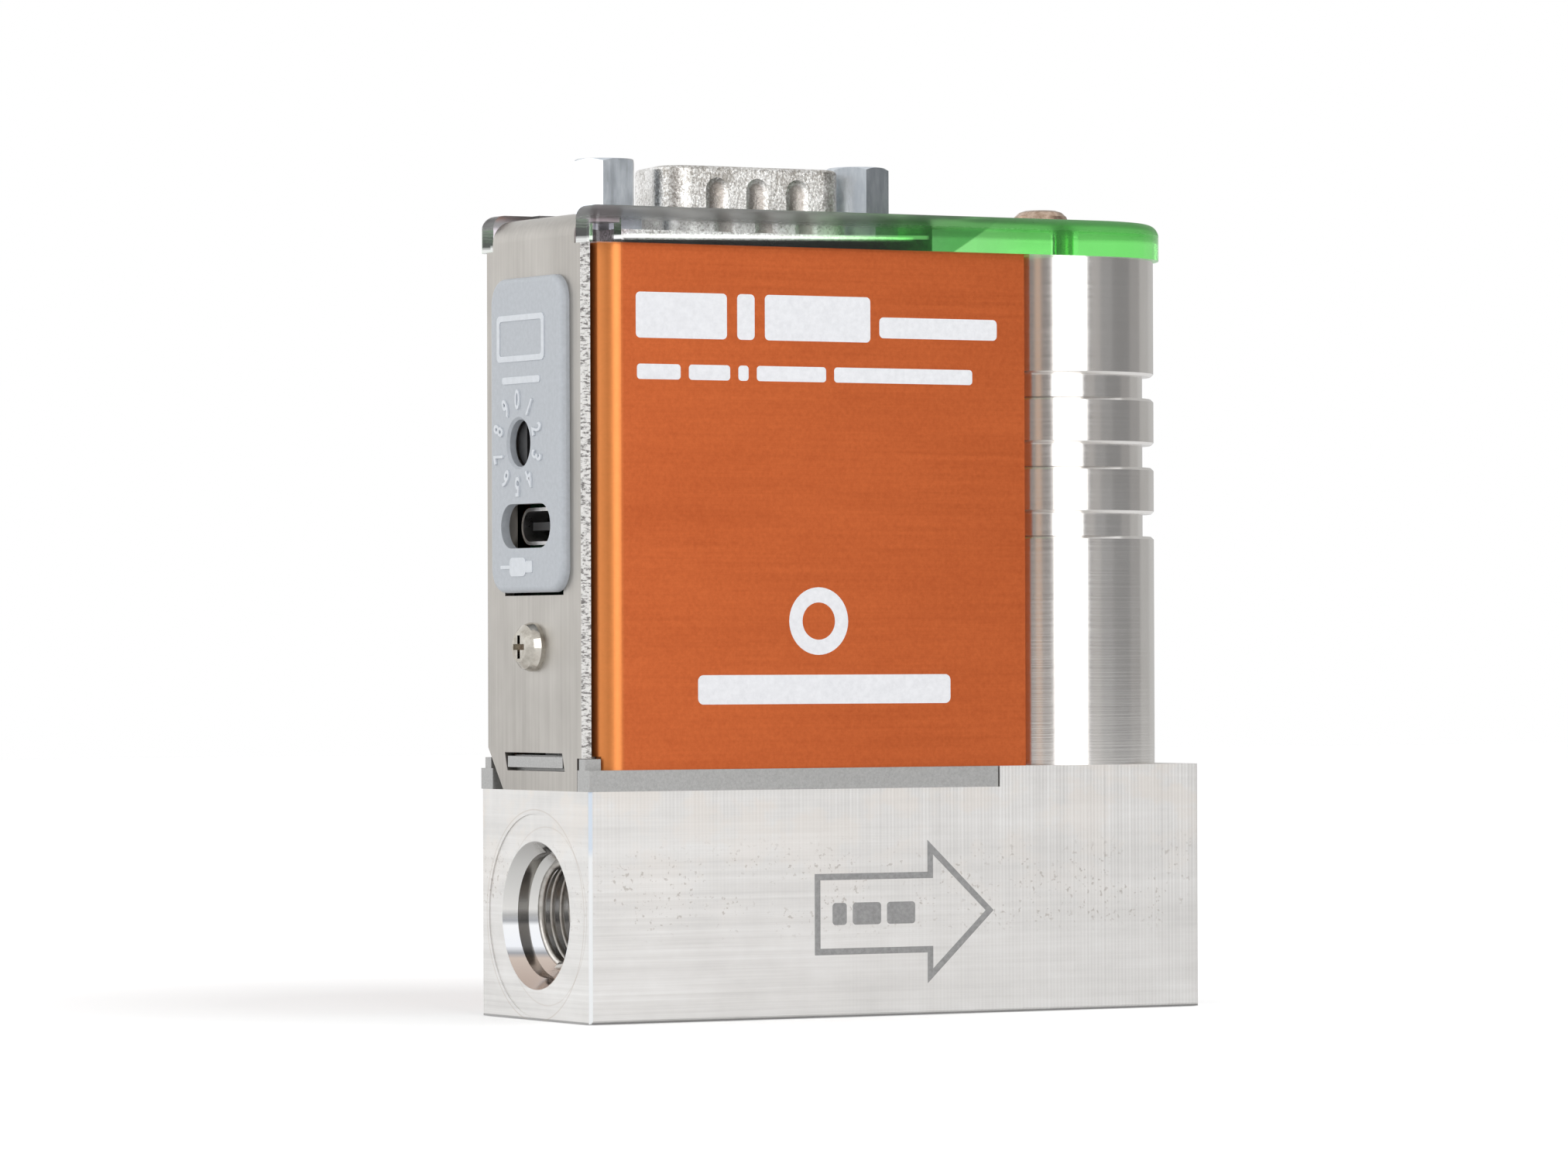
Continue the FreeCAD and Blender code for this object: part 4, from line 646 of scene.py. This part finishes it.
# %% Engraved arrow
etched = Finish("etched_line", metallic=0.3)
frost = etched.noise((3000, 3000, 3000), 3.0)
etched.set(base_color=etched.ramp(frost, (0.3, (0.27, 0.27, 0.27)), (0.7, (0.37, 0.37, 0.37))))
etched.set(roughness=frost * 0.2 + 0.55)
arrow_line = 0.55
arrow = [(-8.65, 5.35), (2.55, 5.35), (2.55, 2.69), (9.20, 8.88), (2.55, 15.08), (2.55, 12.32),
         (-8.65, 12.32)]
arrow_marks = [arrow, inset(arrow, arrow_line)]
arrow_marks += bars(7.9, 9.8, 0.3, (-6.9, -5.5), (-4.9, -2.1), (-1.5, 1.3))
stand("flow_arrow", sheet_of("flow_arrow", arrow_marks, 0.03), FRONT, -block_low.y / MM, etched)
print("arrow", len(arrow_marks), "outlines")

# %% [markdown]
# The front of the cover carries white print: a heavy and a light row of bars at the
# top, and a ring with a short bar below it further down.

# %% White print
ink = Finish("white_ink")
screen = ink.noise((2500, 2500, 2500), 2.0)
ink.set(base_color=ink.ramp(screen, (0.3, (0.80, 0.81, 0.84)), (0.7, (0.88, 0.89, 0.92))))
ink.set(roughness=screen * 0.1 + 0.4)
print_marks = bars(58.0, 61.9, 0.4, (-25.7, -16.9), (-15.9, -14.2), (-13.2, -2.8))
print_marks += bars(58.4, 60.2, 0.4, (-1.9, 9.9))
print_marks += bars(
    54.5, 55.8, 0.3,
    (-25.6, -21.4), (-20.6, -16.6), (-15.8, -14.8), (-14.0, -7.2), (-6.4, 7.4))
print_marks += [disc(-8.0, 34.0, 2.9), disc(-8.0, 34.0, 1.6)]
print_marks += bars(26.9, 29.4, 0.5, (-19.8, 5.1))
stand("cover_print", sheet_of("cover_print", print_marks, 0.02), FRONT, -cover_low.y / MM, ink)
print("print", len(print_marks), "outlines")

# %% [markdown]
# ## Raised marks on the panel
# The mould gives the dial its ten digits and the socket its plug symbol, raised by a
# tenth of a millimetre. Each digit stands with its head away from the dial, so it is
# written once, turned about the dial's axis and then stood on the panel. They are painted
# lighter than the panel, a painted highlight that lets the low relief show.

# %% Raised plastic, painted lighter as highlight
raised_highlight_finish = Finish("raised_plastic_painted_highlight", specular_ior_level=0.6)
highlight_speckle = raised_highlight_finish.noise((1800, 1800, 1800), 3.0, 0.6)
# The marks are painted lighter than the panel: a painted highlight on the relief.
raised_highlight_finish.set(base_color=raised_highlight_finish.ramp(highlight_speckle, (0.3, (0.66, 0.695, 0.735)), (0.7, (0.74, 0.775, 0.82))))
raised_highlight_finish.set(roughness=highlight_speckle * 0.2 + 0.22)

# %% Digits round the dial
panel_face = -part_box("access_panel")[0].x / MM
dial_across, dial_up, dial_radius = -1.3, 49.3, 3.65
digit_count = 10
digit_height = 2.3
digit_relief = 0.14
digit_rounding = 0.02
digit_boldness = 0.035
digit_narrowing = 0.72


def digit_mesh(digit):
    """One raised digit, turned to its place on the dial."""
    text = bpy.data.curves.new("digit", "FONT")
    text.body = str(digit)
    text.size = digit_height * MM
    text.align_x, text.align_y = "CENTER", "CENTER"
    text.extrude = digit_relief * MM
    text.bevel_depth = digit_rounding * MM
    text.offset = digit_boldness * MM
    mesh = mesh_of(bpy.data.objects.new("digit", text))
    mesh.transform(Matrix.Diagonal((digit_narrowing, 1.0, 1.0, 1.0)))
    out = Matrix.Translation((0, dial_radius * MM, 0))
    round_dial = Matrix.Rotation(-math.radians(360 / digit_count * digit), 4, "Z")
    centre = Matrix.Translation((dial_across * MM, dial_up * MM, 0))
    mesh.transform(centre @ round_dial @ out)
    return mesh


def joined(name, meshes):
    """One mesh from several, with their faces as they are."""
    points, faces = [], []
    for mesh in meshes:
        start = len(points)
        points += [vertex.co[:] for vertex in mesh.vertices]
        faces += [[start + v for v in polygon.vertices] for polygon in mesh.polygons]
    whole = bpy.data.meshes.new(name)
    whole.from_pydata(points, [], faces)
    return whole


digit_parts = [digit_mesh(digit) for digit in range(digit_count)]
stand("dial_digits", joined("dial_digits", digit_parts), LEFT, panel_face, raised_highlight_finish)
print("dial", len(digit_parts), "digits")

# %% Plug symbol and label frame
plug_marks = [
    rounded(-2.9, 37.9, 0.1, 39.5, 0.5),
    rounded(0.1, 38.2, 1.3, 39.2, 0.1),
    rounded(-4.6, 38.55, -2.9, 38.85, 0.1),
]
label_marks = [
    rounded(-5.2, 56.3, 3.6, 60.3, 0.5),
    rounded(-4.7, 56.8, 3.1, 59.8, 0.3),
    rounded(-4.2, 54.4, 2.8, 55.0, 0.25),
]
stand("panel_marks", sheet_of("panel_marks", plug_marks + label_marks, 0.16), LEFT, panel_face,
      raised_highlight_finish)
print("panel", len(plug_marks) + len(label_marks), "outlines")

# %% [markdown]
# ## Threads
# Both ports are tapped. A thread is one ridge that winds round the bore, which is what
# a spiral with a small profile swept along it gives. Geometry Nodes suit it: the same
# tree makes the ridge of either port from a radius, a pitch and a number of turns. It
# ends in Realize Instances and Set Material, so what leaves it is one plain mesh that
# wears its finish.

# %% A tree that winds a ridge
def thread_tree():
    """A node tree that sweeps a small profile along a spiral."""
    tree = bpy.data.node_groups.new("wound_ridge", "GeometryNodeTree")
    face = tree.interface
    for measure in ("Radius", "Pitch", "Turns", "Ridge"):
        face.new_socket(measure, in_out="INPUT", socket_type="NodeSocketFloat")
    face.new_socket("Finish", in_out="INPUT", socket_type="NodeSocketMaterial")
    face.new_socket("Geometry", in_out="OUTPUT", socket_type="NodeSocketGeometry")
    add = tree.nodes.new
    given = add("NodeGroupInput")
    made = add("NodeGroupOutput")
    spiral = add("GeometryNodeCurveSpiral")
    spiral.inputs["Resolution"].default_value = 40
    height = add("ShaderNodeMath")
    height.operation = "MULTIPLY"
    upright = add("GeometryNodeSetCurveNormal")
    upright.mode = "Z_UP"
    profile = add("GeometryNodeCurvePrimitiveCircle")
    profile.inputs["Resolution"].default_value = 4
    sweep = add("GeometryNodeCurveToMesh")
    sweep.inputs["Fill Caps"].default_value = True
    real = add("GeometryNodeRealizeInstances")
    coat = add("GeometryNodeSetMaterial")
    links = (
        (given.outputs["Turns"], spiral.inputs["Rotations"]),
        (given.outputs["Radius"], spiral.inputs["Start Radius"]),
        (given.outputs["Radius"], spiral.inputs["End Radius"]),
        (given.outputs["Turns"], height.inputs[0]),
        (given.outputs["Pitch"], height.inputs[1]),
        (height.outputs[0], spiral.inputs["Height"]),
        (spiral.outputs[0], upright.inputs["Curve"]),
        (upright.outputs[0], sweep.inputs["Curve"]),
        (given.outputs["Ridge"], profile.inputs["Radius"]),
        (profile.outputs[0], sweep.inputs["Profile Curve"]),
        (sweep.outputs[0], real.inputs["Geometry"]),
        (real.outputs[0], coat.inputs["Geometry"]),
        (given.outputs["Finish"], coat.inputs["Material"]),
        (coat.outputs[0], made.inputs[0]),
    )
    for start, end in links:
        tree.links.new(start, end)
    return tree


ridge_tree = thread_tree()


def grown(name, tree, **inputs):
    """The plain mesh that a tree makes from these inputs."""
    holder = bpy.data.objects.new(name, bpy.data.meshes.new(name))
    modifier = holder.modifiers.new("shape", "NODES")
    modifier.node_group = tree
    for item in tree.interface.items_tree:
        if item.in_out == "INPUT" and item.name in inputs:
            modifier[item.identifier] = inputs[item.name]
    return mesh_of(holder)


# %% Threads of the two ports
thread_pitch = 0.907
thread_turns = 6.0
thread_start = 28.1
ridge_radius = 4.45
ridge_size = 0.42
bore_finish = Finish("tapped_steel", metallic=1.0)
cut_grain = bore_finish.noise((1500, 1500, 1500), 3.0)
bore_finish.set(base_color=bore_finish.ramp(
    cut_grain, (0.3, (0.42, 0.40, 0.37)), (0.7, (0.60, 0.58, 0.55))))
bore_finish.set(roughness=cut_grain * 0.2 + 0.22)
for port, way in (("inlet_thread", 1), ("outlet_thread", -1)):
    ridge = grown(port, ridge_tree, Radius=ridge_radius * MM, Pitch=thread_pitch * MM,
                  Turns=thread_turns, Ridge=ridge_size * MM, Finish=bore_finish.material)
    along_x = Matrix.Rotation(math.radians(90 * way), 4, "Y")
    start = Matrix.Translation((-way * thread_start * MM, 0, port_axis * MM))
    ridge.transform(start @ along_x)
    add_to_meter(port, ridge)
    print(port, len(ridge.polygons), "faces")

# %% [markdown]
# ## The studio
# The floor and everything behind the object are pure white to the camera, yet must not
# flood the object with light. Light Path tells which ray asks: a ray from the camera, a
# reflection or a look through the lens gets full white, and the light that reaches the
# surfaces stays lower. Behind the block on the left the paper carries a painted shadow,
# where the block keeps the light off it.

# %% White surroundings
ambient_light = 0.67
world = bpy.data.worlds.new("studio_world")
bpy.context.scene.world = world
world.use_nodes = True
sky = world.node_tree
rays = sky.nodes.new("ShaderNodeLightPath")
seen = rays.outputs["Is Camera Ray"]
for ray in ("Is Transmission Ray", "Is Glossy Ray"):
    either = sky.nodes.new("ShaderNodeMath")
    either.operation = "MAXIMUM"
    sky.links.new(seen, either.inputs[0])
    sky.links.new(rays.outputs[ray], either.inputs[1])
    seen = either.outputs[0]
shade = sky.nodes.new("ShaderNodeMapRange")
shade.inputs["To Min"].default_value = ambient_light
shade.inputs["To Max"].default_value = 1.0
sky.links.new(seen, shade.inputs["Value"])
background = sky.nodes["Background"]
background.inputs["Strength"].default_value = 1.0
sky.links.new(shade.outputs[0], background.inputs["Color"])
bpy.context.scene.view_settings.view_transform = "Standard"
print("surroundings light the surfaces at", ambient_light)

# %% Floor
floor_half = 1.5
floor_gap = 0.05
floor_seen, floor_mirrored = 0.45, 0.18
shade_centre = (-22 * MM, 30 * MM, 0.0)
shade_reach = 40.0
floor_mesh = bpy.data.meshes.new("floor")
floor_corners = [(-floor_half, -floor_half, 0), (floor_half, -floor_half, 0),
                 (floor_half, floor_half, 0), (-floor_half, floor_half, 0)]
floor_mesh.from_pydata(floor_corners, [], [(0, 1, 2, 3)])
floor = bpy.data.objects.new("floor", floor_mesh)
floor.location.z = -floor_gap * MM
bpy.context.scene.collection.objects.link(floor)
paper = Finish("floor_paper", base_color=(0.8, 0.8, 0.8), roughness=0.9, specular_ior_level=0.1)
to_camera = paper.add("ShaderNodeLightPath", {}, {}, "Is Camera Ray")
to_mirror = paper.add("ShaderNodeLightPath", {}, {}, "Is Glossy Ray")
behind_left = paper.add(
    "ShaderNodeVectorMath", {"operation": "DISTANCE"},
    {0: paper.place, 1: shade_centre}, "Value")
# A painted shadow on the paper behind the block on the left.
painted_floor_shadow = (1 - (behind_left / MM).above(shade_reach, shade_reach)) * 0.2
paper.set(emission_color=(1.0, 1.0, 1.0))
paper.set(emission_strength=to_camera * (floor_seen - painted_floor_shadow) + to_mirror * floor_mirrored)
floor_mesh.materials.append(paper.material)
print("floor", 2 * floor_half, "m wide")

# %% [markdown]
# One tall soft box stands to the right of the camera. Its upright reflection is the
# white band down the turned tower, so its place and width come from that band. A second
# one behind on the left lights the port's side. A narrow strip between them draws the
# bright line down the bend of the orange cover.

# %% Soft boxes
meter_middle = Vector((0, 0, 0.04))


def bearing(degrees, distance, height):
    """A place that many degrees to the right of straight in front, seen from the front."""
    angle = math.radians(degrees)
    return Vector((distance * math.sin(angle), -distance * math.cos(angle), height))


def soft_box(name, degrees, distance, height, width, tall, radiance):
    """A lit rectangle that faces the middle of the meter."""
    light = bpy.data.lights.new(name, "AREA")
    light.shape = "RECTANGLE"
    light.size = width
    light.size_y = tall
    light.energy = radiance * math.pi * width * tall
    made = bpy.data.objects.new(name, light)
    place = bearing(degrees, distance, height)
    aim = (meter_middle - place).to_track_quat("-Z", "Y").to_matrix().to_4x4()
    made.matrix_world = Matrix.Translation(place) @ aim
    bpy.context.scene.collection.objects.link(made)
    print(name, round(light.energy, 2), "W")


soft_box("soft_box_right", degrees=0, distance=0.62, height=0.20,
         width=0.40, tall=0.60, radiance=2.2)
soft_box("soft_box_left", degrees=-118, distance=0.85, height=0.30,
         width=0.90, tall=0.70, radiance=1.0)
soft_box("strip_light_left", degrees=-92, distance=0.90, height=0.20,
         width=0.18, tall=0.60, radiance=1.5)

# %% [markdown]
# Grey cards stand round the camera's side, and only reflections see them. They give the
# metal the dark parts without which it looks like plastic. Each tone and each bearing
# comes from the stripes down the tower: a round mirror shows the whole room, squeezed
# towards its edges.

# %% Grey cards
CARDS = (
    (-50, -36, (0.26, 0.24, 0.23)),
    (-36, -30, (0.62, 0.44, 0.33)),
    (-30, -15, (0.25, 0.23, 0.22)),
    (18, 23, (0.28, 0.27, 0.27)),
    (23, 33, (0.44, 0.43, 0.42)),
    (33, 48, (0.34, 0.34, 0.34)),
    (48, 72, (0.27, 0.27, 0.27)),
    (72, 90, (0.35, 0.345, 0.34)),
    (90, 112, (0.48, 0.475, 0.465)),
    (112, 152, (0.55, 0.545, 0.535)),
)


def card(start, end, tone, distance=0.9, height=0.9, steps=6):
    """An upright card bent round the object from one bearing to another."""
    name = "grey_card_" + str(start)
    paint = bpy.data.materials.new(name)
    paint.use_nodes = True
    tree = paint.node_tree
    tree.nodes.remove(tree.nodes["Principled BSDF"])
    glow = tree.nodes.new("ShaderNodeEmission")
    glow.inputs["Color"].default_value = (*tone, 1.0)
    tree.links.new(glow.outputs[0], tree.nodes["Material Output"].inputs["Surface"])
    points, faces = [], []
    for step in range(steps + 1):
        degrees = start + (end - start) * step / steps
        points += [bearing(degrees, distance, 0.0), bearing(degrees, distance, height)]
    for step in range(steps):
        low = 2 * step
        faces.append((low, low + 2, low + 3, low + 1))
    mesh = bpy.data.meshes.new(name)
    mesh.from_pydata(points, [], faces)
    mesh.materials.append(paint)
    made = bpy.data.objects.new(name, mesh)
    made.visible_camera = False
    made.visible_diffuse = False
    made.visible_transmission = False
    made.visible_shadow = False
    bpy.context.scene.collection.objects.link(made)


for start, end, tone in CARDS:
    card(start, end, tone)
print(len(CARDS), "grey cards")
